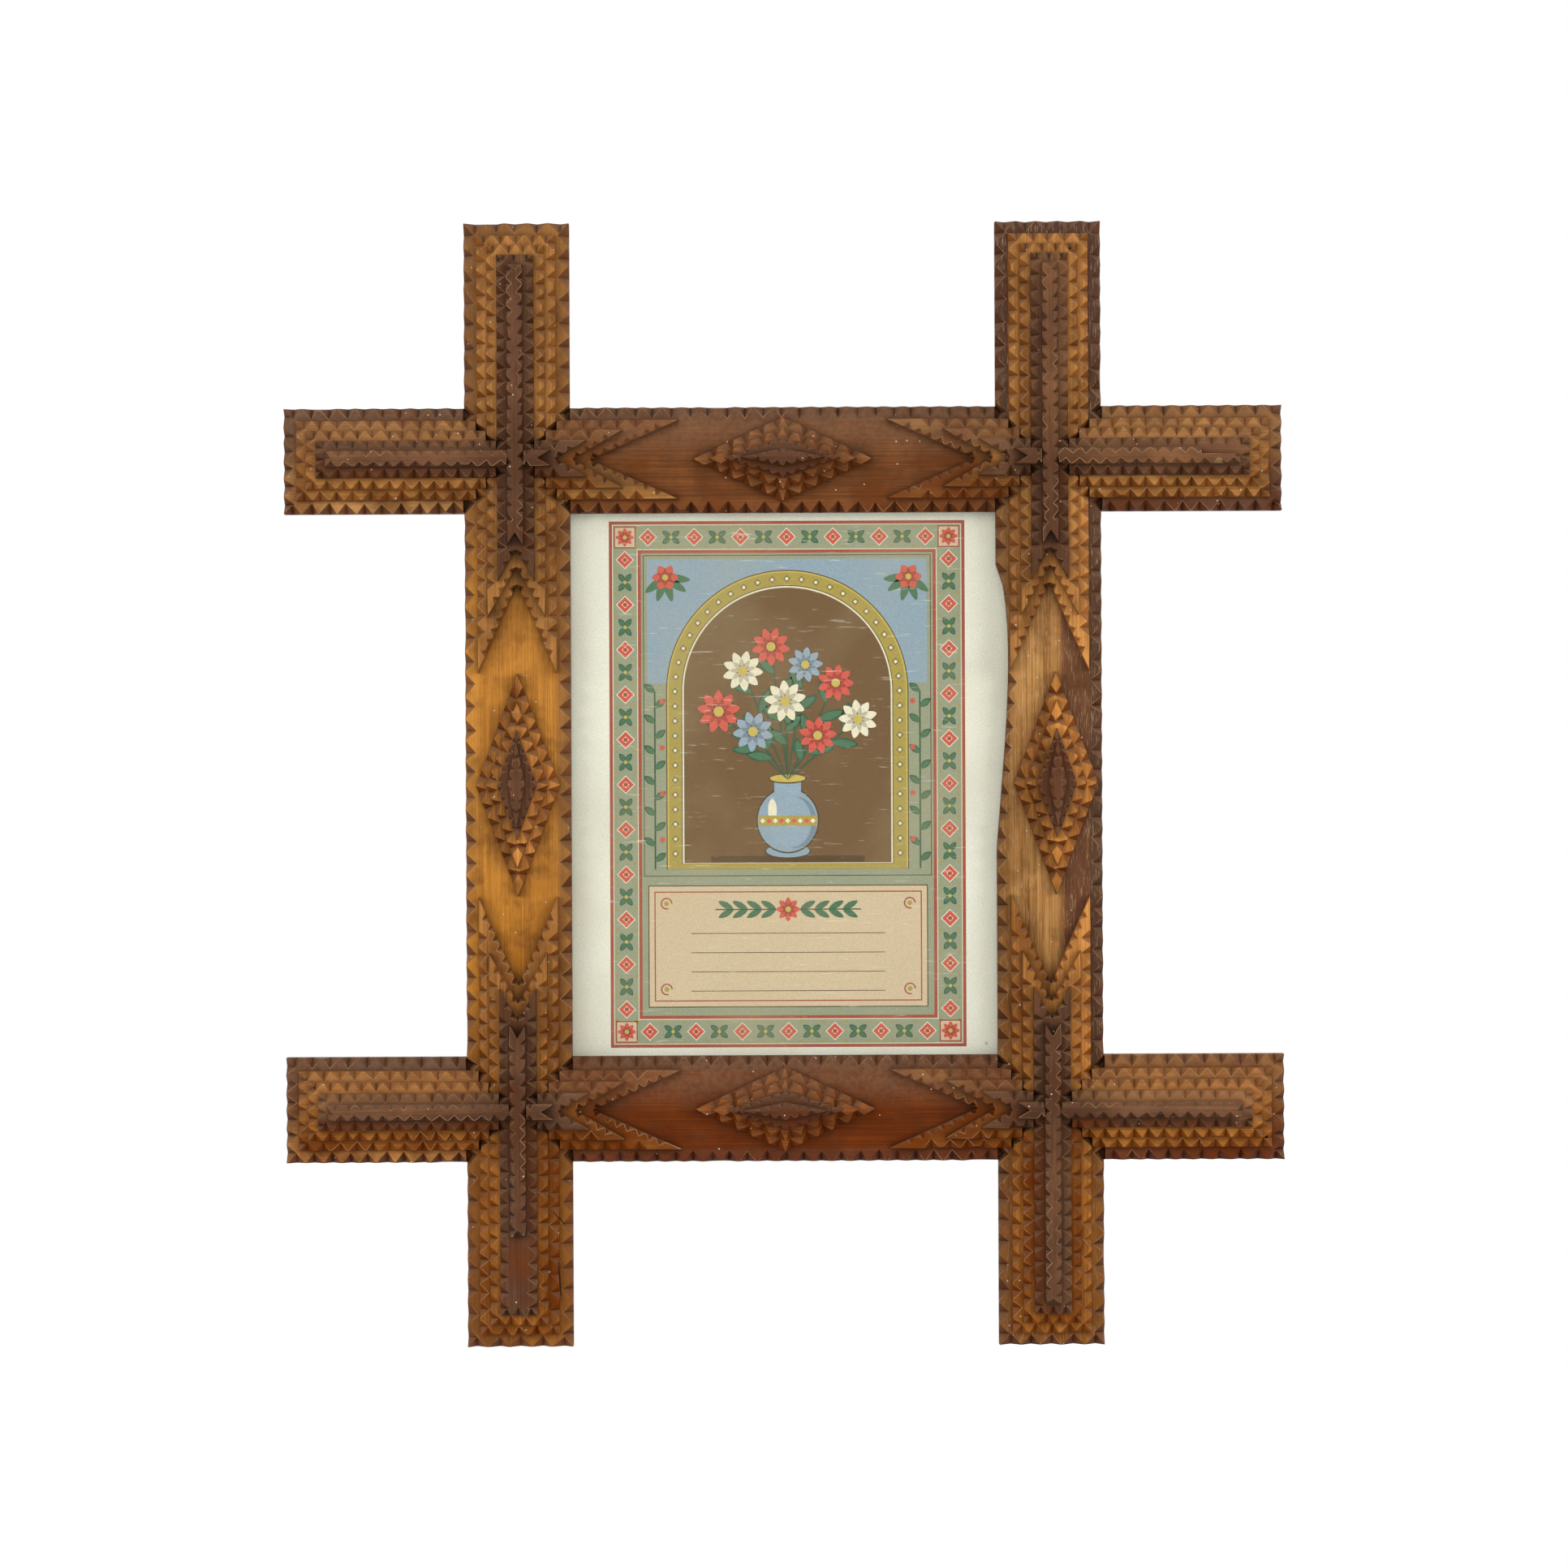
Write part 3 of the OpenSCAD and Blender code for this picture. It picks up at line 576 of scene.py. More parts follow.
def round_edges(skin, width, segments=1, front=None):
    """Takes the sharpness off the outer edges, or those of the flat tops alone, and returns the new faces."""
    sharp = [
        edge for edge in skin.edges
        if len(edge.link_faces) == 2 and edge.calc_face_angle_signed(0) > ROUNDED_TURN]
    if front is not None:
        tops = front_faces(skin, front)
        rims = {edge for top in tops for edge in top.edges}
        tight = set().union(*(tight_edges(top, width) for top in tops))
        sharp = [
            edge for edge in sharp
            if edge in rims and edge not in tight and edge.calc_length() > 2.2 * width]
    made = bmesh.ops.bevel(
        skin, geom=sharp, offset=width, offset_type="OFFSET", affect="EDGES", segments=segments, profile=0.5,
        material=-1, clamp_overlap=False)
    return made["faces"]


def board_place(point, upright):
    """A point's place on its board: along the grain, across it and off the wall."""
    rise = point.z - CENTRE_Z
    if upright:
        return rise, point.x - math.copysign(STILE_X, point.x), -point.y
    return point.x, rise - math.copysign(RAIL_Z, rise), -point.y


def put(name, data):
    """A new object in the scene."""
    made = bpy.data.objects.new(name, data)
    bpy.context.scene.collection.objects.link(made)
    return made


def put_mesh(skin, name, material):
    """A new mesh object in the scene, of one material."""
    mesh = bpy.data.meshes.new(name)
    skin.to_mesh(mesh)
    skin.free()
    mesh.materials.append(material)
    return put(name, mesh)


def place_piece(skin, name, node, material, body="frame"):
    """Makes the object that stands for a solid, kept inside the box of all the solids."""
    for vert in skin.verts:
        vert.co = [min(max(c, low), high) for c, low, high in zip(vert.co, *CAD_BOX)]
    piece = put_mesh(skin, name, material)
    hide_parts(node)
    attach(piece, body)
    return piece


def dress(node, prefix, material, width=0.0, segments=1, smooth=False):
    """Stands a round-edged copy in for a plain solid."""
    skin = merged_copy(node)
    if width:
        round_edges(skin, width, segments)
    if smooth:
        for face in skin.faces:
            face.smooth = True
    place_piece(skin, prefix + node, node, material)


def carve(node, material, upright, tones=(0, 0, 0, 0), breaks=(), width=None, worn=0.6, dark_ends=0.0):
    """Stands a worn, round-edged copy in for a carved solid.

    The tones are those of the arm's lower or left side and its upper or right side, then of the tail's two
    sides. A piece with dark ends loses that much tone there.
    """
    wood = bpy.context.scene.frame_wood
    chance = random.Random(node)
    skin = merged_copy(node)
    front = min(vert.co.y for vert in skin.verts)
    close_slivers(skin, front)
    blunt_teeth(skin, front, chance, wood)
    wear = skin.faces.layers.float.new("wear")
    # The rounded rims get the pale worn wood with its painted highlight
    for face in round_edges(skin, width or wood.edge_round, front=front):
        at_rim = face.calc_center_median().y < front + RIM_DEPTH
        face[wear] = worn if at_rim else LOWER_WEAR * worn
    facet = skin.faces.layers.float.new("facet")
    for face in skin.faces:
        face[facet] = chance.random()
    for middle, reach in breaks:
        for face in skin.faces:
            if (face.calc_center_median() - middle).length < reach:
                face[wear] = BROKEN
    mesh = place_piece(skin, "carved_" + node, node, material).data
    spots = [board_place(vert.co, upright) for vert in mesh.vertices]
    crossing = RAIL_Z if upright else STILE_X
    shades = []
    for along, across, _depth in spots:
        near_end = min(max((abs(along) - DARK_START) / DARK_RUN, 0), 1)
        tone = tones[2 * (abs(along) < crossing) + (across > 0)]
        shades.append(tone - dark_ends * near_end)
    flat = [c for spot in spots for c in spot]
    seeds = [chance.uniform(0, 60)] * len(spots)
    mesh.attributes.new("board_place", "FLOAT_VECTOR", "POINT").data.foreach_set("vector", flat)
    mesh.attributes.new("piece_seed", "FLOAT", "POINT").data.foreach_set("value", seeds)
    mesh.attributes.new("piece_tone", "FLOAT", "POINT").data.foreach_set("value", shades)


def drawn_card(inks):
    """The card with a border, an arch with a vase of flowers, and a plaque, drawn in flat inks."""
    card = bmesh.new()
    ink = card.loops.layers.float_color.new("ink")
    front = CARD[0].y + INK_ROOM
    size = Vector((CARD[1].x - CARD[0].x, CARD[1].y - front, CARD[1].z - CARD[0].z))
    middle = Vector((0, (CARD[1].y + front) / 2, CENTRE_Z))
    bmesh.ops.create_cube(card, size=1, matrix=Matrix.Translation(middle) @ Matrix.Diagonal((*size, 1)))
    for face in card.faces:
        for loop in face.loops:
            loop[ink] = opaque(inks.paper)

    def stamp(step, shade, verts, u, v, turn=0.0, wide=1.0, high=1.0):
        """Puts a flat shape drawn in millimetres on the print, one film above the last, and inks it."""
        centre = Vector((inks.shift, front - step * INK_FILM, CENTRE_Z))
        place = (
            Matrix.Translation(centre) @ Matrix.Rotation(math.radians(90), 4, "X")
            @ Matrix.Scale(MM, 4) @ Matrix.Translation((u, v, 0))
            @ Matrix.Rotation(turn, 4, "Z") @ Matrix.Diagonal((wide, high, 1, 1)))
        bmesh.ops.transform(card, matrix=place, verts=verts)
        for face in {face for vert in verts for face in vert.link_faces}:
            for loop in face.loops:
                loop[ink] = opaque(shade)

    def bar(step, shade, left, low, right, high):
        """A rectangle."""
        verts = bmesh.ops.create_grid(card, x_segments=1, y_segments=1, size=0.5)["verts"]
        stamp(step, shade, verts, (left + right) / 2, (low + high) / 2, 0, right - left, high - low)

    def disc(step, shade, u, v, radius, segments=24, high=1.0):
        """A circle, an oval or a regular polygon."""
        verts = bmesh.ops.create_circle(card, cap_ends=True, segments=segments, radius=radius)["verts"]
        stamp(step, shade, verts, u, v, high=high)

    def leaf(step, shade, u, v, long, wide, turn):
        """A pointed leaf or petal that grows from a point."""
        verts = bmesh.ops.create_circle(card, cap_ends=True, segments=12, radius=0.5)["verts"]
        for vert in verts:
            vert.co.y *= 1 - 1.1 * abs(vert.co.x) ** 1.6
            vert.co.x += 0.5
        stamp(step, shade, verts, u, v, turn, long, wide)

    def arc(step, shade, u, v, radius, width, sweep, steps=24):
        """A curved line of even width."""
        turns = [sweep * i / steps for i in range(steps + 1)]
        near, far = [
            [card.verts.new((r * math.cos(turn), r * math.sin(turn), 0)) for turn in turns]
            for r in (radius - width / 2, radius + width / 2)]
        for i in range(steps):
            card.faces.new((near[i], far[i], far[i + 1], near[i + 1]))
        stamp(step, shade, near + far, u, v)

    def rosette(step, shade, heart, u, v, radius, petals, turn=0.0):
        """A flower seen from above, with a darker ring of petals in it."""
        dark = tuple(0.62 * c for c in shade)
        part = math.tau / petals
        for i in range(petals):
            leaf(step, shade, u, v, radius, radius * 4.4 / petals, turn + part * i)
        for i in range(petals):
            leaf(step + 1, dark, u, v, radius * 0.62, radius * 2.2 / petals, turn + part * (i + 0.5))
        disc(step + 2, heart, u, v, radius * 0.24, 12)

    half_w = inks.width / MM / 2
    half_h = inks.height / MM / 2
    rule = inks.rule / MM
    band = inks.band / MM
    deep_green = tuple(0.6 * c for c in inks.green)
    pale_gold = tuple(min(1, 1.35 * c) for c in inks.gold)

    inner = 2 * rule + band
    fields = (
        (inks.red, 0), (inks.cream, rule), (inks.sage, rule + 0.4), (inks.cream, rule + band - 0.4),
        (inks.red, rule + band), (inks.sage, inner))
    for step, (shade, inset) in enumerate(fields, 1):
        bar(step, shade, inset - half_w, inset - half_h, half_w - inset, half_h - inset)
    lane = rule + band / 2
    lane_w = half_w - lane
    lane_h = half_h - lane
    for along, reach, upright in ((lane_w, lane_h, False), (lane_h, lane_w, True)):
        count = 2 * round(along / 11.6)
        pitch = 2 * along / count
        for side in (-1, 1):
            for i in range(1, count):
                place = -along + i * pitch
                u, v = (side * reach, place) if upright else (place, side * reach)
                lean = math.pi / 2 if upright else 0.0
                if i % 2:
                    disc(7, inks.cream, u, v, 4.6, 4)
                    disc(8, inks.bright_red, u, v, 4.0, 4)
                    disc(9, inks.cream, u, v, 1.7, 4)
                    disc(10, inks.red, u, v, 1.1, 12)
                else:
                    for way in (0, math.pi):
                        for tilt in (-0.62, 0.62):
                            leaf(7, deep_green, u, v, 5.2, 2.9, lean + way + tilt)
                            leaf(8, inks.green, u, v, 4.6, 2.2, lean + way + tilt)
                    disc(9, pale_gold, u, v, 0.9, 12)
                for way in (-1, 1):
                    du, dv = (way * 4.6, pitch / 2) if upright else (pitch / 2, way * 4.6)
                    disc(7, inks.gold, u - du, v - dv, 0.7, 10)
    for side in (-1, 1):
        for rise in (-1, 1):
            u = side * lane_w
            v = rise * lane_h
            for step, shade, half in ((7, inks.red, 5.4), (8, inks.buff, 4.8)):
                bar(step, shade, u - half, v - half, u + half, v + half)
            rosette(9, inks.bright_red, pale_gold, u, v, 4.6, 8)

    # Arch-headed panel: spandrels, gold moulding and umber ground
    foot = -42.0
    spring = 46.0
    wide = half_w - inner
    top = half_h - inner
    nook = wide - 12
    bar(7, inks.line, -wide + 1, foot - 3.5, wide - 1, top - 1)
    bar(8, inks.sage, -wide + 1.4, foot - 3.1, wide - 1.4, top - 1.4)
    bar(9, inks.blue, -wide + 3, spring + 4, wide - 3, top - 3)
    arch = 60.0
    for step, shade, inset in (
            (10, inks.line, 0), (11, pale_gold, 0.5), (11.5, inks.gold, 1.3), (12, inks.line, 7.6),
            (12.5, inks.cream, 8.0), (13, inks.brown, 8.8)):
        edge = arch - inset
        bar(step, shade, -edge, foot + inset * 0.35, edge, spring)
        disc(step + 0.2, shade, 0, spring, edge, 96)
    # Beads lie on the middle of the moulding
    path = 55.6
    swings = [math.pi * i / 24 for i in range(25)]
    beads = [(path * math.cos(swing), spring + path * math.sin(swing)) for swing in swings]
    beads += [(side * path, spring - i * 7.3) for i in range(1, 12) for side in (-1, 1)]
    for u, v in beads:
        disc(14, inks.line, u, v, 1.7, 4)
        disc(14.5, inks.cream, u, v, 1.1, 4)
    for side in (-1, 1):
        u = side * nook
        v = top - 12
        rosette(12, inks.bright_red, pale_gold, u, v, 6.5, 6)
        for tilt in (-2.5, -1.9, -1.3, -0.6, -0.1):
            leaf(11, inks.green, u, v, 12.5, 4.2, tilt if side < 0 else math.pi - tilt)
        # Climbing vine beside the arch
        u = side * (wide - 6.6)
        for i in range(12):
            v = foot + 4 + i * 7.6
            lean = math.pi / 2 + (0.9 if i % 2 else -0.9)
            leaf(11, deep_green, u, v, 6.6, 3.6, lean)
            leaf(11.5, inks.green, u, v, 5.8, 2.7, lean)
            if i % 3 == 1:
                disc(12, inks.bright_red, u - side * 3.6, v + 3, 1.3, 12)
        bar(10.5, deep_green, u - 0.4, foot, u + 0.4, spring)

    # Vase of flowers
    chance = random.Random(7)
    base = foot + 5
    bar(14, tuple(0.6 * c for c in inks.brown), -38, foot + 3.4, 38, base + 1.5)
    mouth = base + 39
    for step, shade, u, v, radius, segments, high in (
            (15, inks.line, 0, 3.4, 11.6, 24, 0.32), (15.3, inks.blue, 0, 3.9, 10.8, 24, 0.3),
            (15.6, inks.line, 0, 19, 15.6, 40, 1.05), (16, inks.blue, 0, 19, 14.9, 40, 1.05),
            (16.5, tuple(0.7 * c for c in inks.blue), 4.2, 18, 10.2, 32, 1.25),
            (17, inks.blue, 1.6, 18.4, 10.2, 32, 1.25), (17.5, inks.cream, -7.6, 24, 2.2, 16, 2.6),
            (18.2, inks.line, 0, 39.6, 9.4, 32, 0.26), (18.6, pale_gold, 0, 39.8, 8.8, 32, 0.22)):
        disc(step, shade, u, base + v, radius, segments, high)
    bar(18, inks.gold, -14.4, base + 16.2, 14.4, base + 21.4)
    for i in range(-4, 5):
        disc(18.5, inks.bright_red if i % 2 else inks.cream, i * 3.1, base + 18.8, 1.3, 4)
    bar(16.8, inks.blue, -6.6, base + 31, 6.6, mouth)
    stems = ((-34, 78), (-22, 98), (-8, 110), (9, 101), (24, 92), (35, 74), (-17, 68), (15, 66), (-1, 83))
    shades = (inks.bright_red, inks.cream, inks.bright_red, inks.blue, inks.bright_red, inks.cream,
              inks.blue, inks.bright_red, inks.cream)
    for u, v in stems:
        rise = v + foot - mouth
        lean = math.atan2(rise, u)
        reach = math.hypot(u, rise)
        leaf(19, deep_green, 0, mouth, reach, 1.2, lean)
        for share, swing in ((0.45, 0.8), (0.62, -0.8), (0.8, 0.7)):
            lu = u * share
            lv = mouth + rise * share
            long = chance.uniform(11, 15)
            leaf(19.5, deep_green, lu, lv, long, 5.4, lean + swing)
            leaf(20, inks.green, lu, lv, long - 1.4, 3.8, lean + swing)
    for (u, v), shade in zip(stems, shades):
        radius = chance.uniform(8.6, 11.2)
        disc(20.5, inks.line, u, v + foot, radius * 0.78, 20)
        rosette(21, shade, pale_gold, u, v + foot, radius, 9, chance.uniform(0, 1))

    # Plaque with plain rules
    low = -top + 4
    high = foot - 8
    edge = wide - 3
    sprig = high - 12
    for step, shade, inset in (
            (7, inks.line, 0), (8, inks.buff, 0.5), (9, inks.red, 3), (10, inks.buff, 3.6)):
        bar(step, shade, inset - edge, low + inset, edge - inset, high - inset)
    for i in range(4):
        v = high - 24 - i * 9.5
        bar(11, inks.line, -48, v, 48, v + 0.35)
    for side in (-1, 1):
        for i in range(4):
            for tilt in (0.5, -0.5):
                turn = tilt if side > 0 else math.pi - tilt
                leaf(11, inks.green, side * (6 + i * 7), sprig, 8.5, 3.2, turn)
        bar(11.5, deep_green, min(0, side * 36), sprig - 0.3, max(0, side * 36), sprig + 0.3)
        for v in (low + 9, high - 9):
            arc(11, inks.red, side * nook, v, 2.6, 0.7, math.tau * 0.8)
            disc(11, inks.gold, side * nook, v, 1.2, 12)
    rosette(12, inks.bright_red, pale_gold, 0, sprig, 6, 8)

    bmesh.ops.remove_doubles(card, verts=card.verts, dist=0.0001 * MM)
    return card


class FRAME_OT_stage(bpy.types.Operator):
    """Sets the camera, the lamps, the white surroundings and the floor"""

    bl_idname = "tramp_frame.stage"
    bl_label = "Stage"

    def execute(self, context):
        stage = context.scene.frame_stage
        context.scene.view_settings.view_transform = "Standard"
        lens = bpy.data.cameras.new("camera")
        lens.sensor_width = 36
        lens.lens = lens.sensor_width * stage.distance / stage.view_width
        camera = put("camera", lens)
        camera.location = (0, BOARD_FRONT - stage.distance, CENTRE_Z)
        camera.rotation_euler = (math.radians(90), stage.roll, 0)
        context.scene.camera = camera

        aim = Vector((0, 0, CENTRE_Z))
        lamps = (
            ("left_lamp", (-1.35, -1.05, CENTRE_Z + 0.3), stage.side_lamp, 0.8),
            ("right_lamp", (1.35, -1.05, CENTRE_Z + 0.3), stage.side_lamp, 0.8),
            ("top_lamp", (0, -1.45, CENTRE_Z + 0.95), stage.top_lamp, 1.1),
            ("low_lamp", (0, -1.2, CENTRE_Z - 0.8), stage.low_lamp, 0.9),
            ("back_lamp", (0, 1.2, CENTRE_Z + 0.9), stage.back_lamp, 1.4),
        )
        for name, spot, watts, size in lamps:
            lamp = bpy.data.lights.new(name, "AREA")
            lamp.energy = watts
            lamp.size = size
            holder = put(name, lamp)
            holder.location = spot
            holder.rotation_euler = (aim - Vector(spot)).to_track_quat("-Z", "Y").to_euler()
            holder.visible_camera = False
            holder.visible_glossy = False

        world = bpy.data.worlds.new("white_studio")
        world.use_nodes = True
        context.scene.world = world
        world.node_tree.nodes.clear()
        add = partial(add_node, world.node_tree)
        seen = add("LightPath", output="Is Camera Ray")
        for ray in ("Is Glossy Ray", "Is Transmission Ray"):
            seen = add("Math", (seen, add("LightPath", output=ray)), operation="MAXIMUM")
        soft, white = [
            add("Background", {"Color": (1, 1, 1), "Strength": strength})
            for strength in (stage.ambient, 1)]
        both = add("MixShader", (seen, soft, white))
        add("OutputWorld", (both,))

        disc = bmesh.new()
        low = CAD_BOX[0].z - stage.drop
        bmesh.ops.create_circle(
            disc, cap_ends=True, segments=96, radius=1.5, matrix=Matrix.Translation((0, 0, low)))
        paint, add = new_material("matt_floor_paint")
        skin = add("BsdfPrincipled", {"Base Color": stage.floor, "Roughness": 0.9})
        add("OutputMaterial", (skin,))
        put_mesh(disc, "floor", paint)
        return {"FINISHED"}


class FRAME_OT_boards(bpy.types.Operator):
    """Makes the two rails and two stiles that cross at the corners"""

    bl_idname = "tramp_frame.boards"
    bl_label = "Base boards"

    def execute(self, context):
        wood = context.scene.frame_wood
        straw, gold, amber, umber, plum, red, ruddy, dusk = map(linear, (
            "#a97a48", "#9a6a38", "#8a5f36", "#5d4433", "#553a30", "#6b4028", "#5e3824", "#553726"))
        top = varnished_wood(
            "shellacked_rail_brown", wood.rail, wood.rail_deep, linear("#4a2614"), dusty_and_sheened=True,
            mottled=0.9, half=RAIL_HALF, rows=(
                ((0.0, straw), (0.17, straw), (0.19, wood.rail), (0.8, wood.rail), (0.82, linear("#634230"))),
                ((0.0, umber), (0.18, umber), (0.3, dusk), (0.7, dusk), (0.81, umber), (0.83, gold)),
            ))
        bottom = varnished_wood(
            "shellacked_rail_red_brown", linear("#6a3819"), linear("#532a12"), linear("#4a2614"), dusty_and_sheened=True,
            mottled=0.9, half=RAIL_HALF, rows=(
                ((0.0, straw), (0.17, straw), (0.19, red), (0.5, ruddy), (0.81, red), (0.83, red)),
                ((0.0, umber), (0.18, umber), (0.3, dusk), (0.7, dusk), (0.81, amber), (0.83, gold)),
            ))
        left = varnished_wood(
            "shellacked_stile_golden", wood.stile, wood.stile_deep, linear("#633b22"), half=STILE_HALF,
            mottled=0.3, low_shade_value=0.95, cracks=CRACKS, rows=(
                ((0.0, amber), (0.22, gold), (0.34, wood.stile), (0.66, wood.stile), (0.78, amber)),
                ((0.0, gold), (1.0, gold)),
            ))
        right = varnished_wood(
            "shellacked_stile_two_tone", linear("#bb8d55"), linear("#8f5d2b"), linear("#55301a"),
            half=STILE_HALF, stained=True, filler=linear("#b89a70"), mottled=0.3, low_shade_value=0.83, rows=(
                ((0.0, amber), (0.2, amber), (0.3, gold), (0.6, amber), (0.76, amber), (0.82, umber),
                 (1.0, plum)),
                ((0.0, gold), (0.17, gold), (0.2, umber), (0.6, umber), (0.8, umber), (1.0, plum)),
            ))
        carve("top_rail", top, False)
        carve("bottom_rail", bottom, False)
        carve("left_stile", left, True)
        carve("right_stile", right, True)
        return {"FINISHED"}


class FRAME_OT_layers(bpy.types.Operator):
    """Makes the four stepped layers of notched strips on each corner and lozenge"""

    bl_idname = "tramp_frame.layers"
    bl_label = "Corner layers"

    # How much lighter or darker than its kind a strip is, for layers 1 to 4: on the arm's lower or left side
    # and its upper or right side, then on the tail's two sides
    tones = {
        "top_left_stile": (
            (0.3, 0.15, 0.1, 0.1), (0.25, 0.15, 0.1, 0.05), (0, 0.5, 0, -0.2), (0.4, 0.1, 0, 0)),
        "top_left_rail": (
            (-0.5, 0, -0.15, -1.0), (-0.1, -0.05, -0.6, -0.8), (-0.3, 0.4, -0.1, 0), (0.5, 0.8, 0, 0.1)),
        "top_right_stile": (
            (0.4, 0.7, -0.1, 2.2), (-0.4, 0.5, 0, 1.3), (0.4, 1.2, 0, 0), (0.8, 0.8, 0.2, 0.2)),
        "top_right_rail": (
            (-0.1, 0.35, -1.1, -0.5), (-0.1, 0.4, -0.8, -0.6), (0.1, 0.9, -0.1, 0.2), (0.8, 1.0, 0, 0)),
        "bottom_left_stile": (
            (-0.2, -0.8, 0.1, -0.1), (-0.3, -0.7, 0, 0), (-0.4, -0.7, 0, 0), (-0.3, -0.4, 0.2, 0.2)),
        "bottom_left_rail": (
            (-0.7, 0.3, -1.1, -1.0), (-0.6, 0.3, -0.9, -0.8), (-0.8, 1.2, 0, 0.2), (0.3, 0.5, 0, 0.2)),
        "bottom_right_stile": (
            (-0.5, 0.2, -0.3, 1.9), (-0.8, -0.9, -0.2, 1.2), (-0.8, 0.5, 0, 0), (0.5, 0.5, 0, 0)),
        "bottom_right_rail": (
            (-0.3, 0.5, -1.1, -0.9), (-0.3, 0.5, -0.8, -0.8), (-0.8, 2.4, 0, 0), (0.2, 0.6, 0, 0)),
        "rail_lozenges": (
            (0, 0, -0.35, 0.2), (0, 0, -0.45, 0.2), (0, 0, -0.35, 0.3), (0, 0, -0.2, 0.5)),
        "stile_lozenges": (
            (0, 0, 0.2, 2.2), (0, 0, 0.1, 2.2), (0, 0, 0.1, 0.1), (0, 0, 0, 0.1)),
    }

    def execute(self, context):
        wood = context.scene.frame_wood
        finishes = {}
        for kind, dusty_and_sheened, crossing, tail in (("rail", True, STILE_X, 0.6), ("stile", False, RAIL_Z, 0.25)):
            golden = varnished_wood(
                "shellacked_golden_" + kind, wood.golden, wood.golden_deep, wood.golden_cut, dusty_and_sheened=dusty_and_sheened,
                crossing=crossing, crossing_shade=0.2, tail_dim=tail, cracks=() if dusty_and_sheened else CRACKS)
            # The ridge's cut facets are drawn near black: painted shade in its notches, over the darker cut
            # varnish
            dark, ridge = [
                varnished_wood(
                    name + kind, wood.plum, wood.plum_deep, cut, dusty_and_sheened=dusty_and_sheened, warm=linear("#7d542f"),
                    crossing=crossing, crossing_shade=crossing_shade, tail_dim=tail_dim)
                for name, cut, crossing_shade, tail_dim in (
                    ("stained_dark_", wood.plum_cut, 0.65, 0.4),
                    ("ridge_with_painted_shade_", linear("#2e1a10"), 0.5, 0.3))]
            finishes[kind] = (golden, golden, dark, ridge)
            light, deep, core, core_cut = map(linear, (
                ("#96623a", "#764722", "#5e3d2a", "#391e11") if dusty_and_sheened
                else ("#aa7238", "#8c5826", "#6e4a33", "#48291a")))
            golden = varnished_wood(
                "shellacked_golden_lozenge_" + kind, light, deep, linear("#55280c"), dusty_and_sheened=dusty_and_sheened,
                low_shade_value=None if dusty_and_sheened else 0.92)
            dark = varnished_wood("stained_dark_lozenge_" + kind, core, wood.plum_deep, core_cut, dusty_and_sheened=dusty_and_sheened)
            finishes[kind + "_lozenges"] = (golden, golden, dark, dark)
        # Bare wood at two broken tails, the short ridge and the split ridge: its middle and reach
        breaks = {}
        for node, reach in (("top_left_rail_layer_1", 5 * MM), ("bottom_left_rail_layer_1", 6 * MM)):
            low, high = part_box(node)
            breaks[node] = [(Vector((high.x, low.y, low.z)), reach)]
        ridge_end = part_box("bottom_left_stile_layer_4")[0]
        split_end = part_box("top_right_rail_layer_4")[1]
        breaks["bottom_left_stile_layer_4"] = [(Vector((-STILE_X, ridge_end.y, ridge_end.z)), 3 * MM)]
        breaks["top_right_rail_layer_4"] = [(split_end - Vector((8 * MM, 2 * MM, 2 * MM)), 9 * MM)]
        for stem, layers in self.tones.items():
            upright = "stile" in stem
            for level, tones in enumerate(layers, 1):
                node = f"{stem}_layer_{level}"
                if stem in finishes:
                    dark_ends = 1.7 if upright and level < 3 else 0.0
                    carve(
                        node, finishes[stem][level - 1], upright, tones, width=wood.small_round,
                        dark_ends=dark_ends)
                else:
                    finish = finishes["stile" if upright else "rail"][level - 1]
                    # The pale worn rims carry a painted highlight, less of it on the third layer
                    worn = 0.3 if level == 3 else 0.6
                    carve(node, finish, upright, tones, breaks.get(node, ()), worn=worn)
        return {"FINISHED"}


class FRAME_OT_backing(bpy.types.Operator):
    """Makes the rebate strips, the backboard and the nails that hold them"""

    bl_idname = "tramp_frame.backing"
    bl_label = "Rebate and backing"

    def execute(self, context):
        wood = context.scene.frame_wood
        metal = context.scene.frame_metal
        upright_pine = rough_wood("rough_sawn_pine_upright", wood.pine, True, 0.25)
        level_pine = rough_wood("rough_sawn_pine_level", wood.pine, False, 0.25)
        panel = rough_wood("thin_planed_panel", wood.backing, True, 0.05)
        steel = aged_metal("rusted_iron", metal.steel, metal.rust, 0.45, 0.18)
        for side in ("top", "bottom", "left", "right"):
            node = side + "_rebate_strip"
            upright = side in ("left", "right")
            dress(node, "rough_", upright_pine if upright else level_pine, 0.4 * MM)
        dress("backboard", "planed_", panel, 0.5 * MM)
        for node in ("backboard_brads", "rebate_nails", "lap_nails"):
            dress(node, "rusted_", steel, 0.18 * MM, 2, True)
        return {"FINISHED"}


class FRAME_OT_print(bpy.types.Operator):
    """Prints a generic flower piece with a patterned border on the card"""

    bl_idname = "tramp_frame.print"
    bl_label = "Printed card"

    def execute(self, context):
        inks = context.scene.frame_print
        skin = drawn_card(inks)
        place_piece(skin, "printed_flower_card", "printed_card", litho_card("litho_card", inks.paper))
        return {"FINISHED"}


class FRAME_OT_glass(bpy.types.Operator):
    """Gives the pane its old window glass"""

    bl_idname = "tramp_frame.glass"
    bl_label = "Glass"

    def execute(self, context):
        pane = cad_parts["glass_pane"]
        pane.data.materials.clear()
        pane.data.materials.append(old_glass("old_window_glass", context.scene.frame_metal.glass))
        return {"FINISHED"}


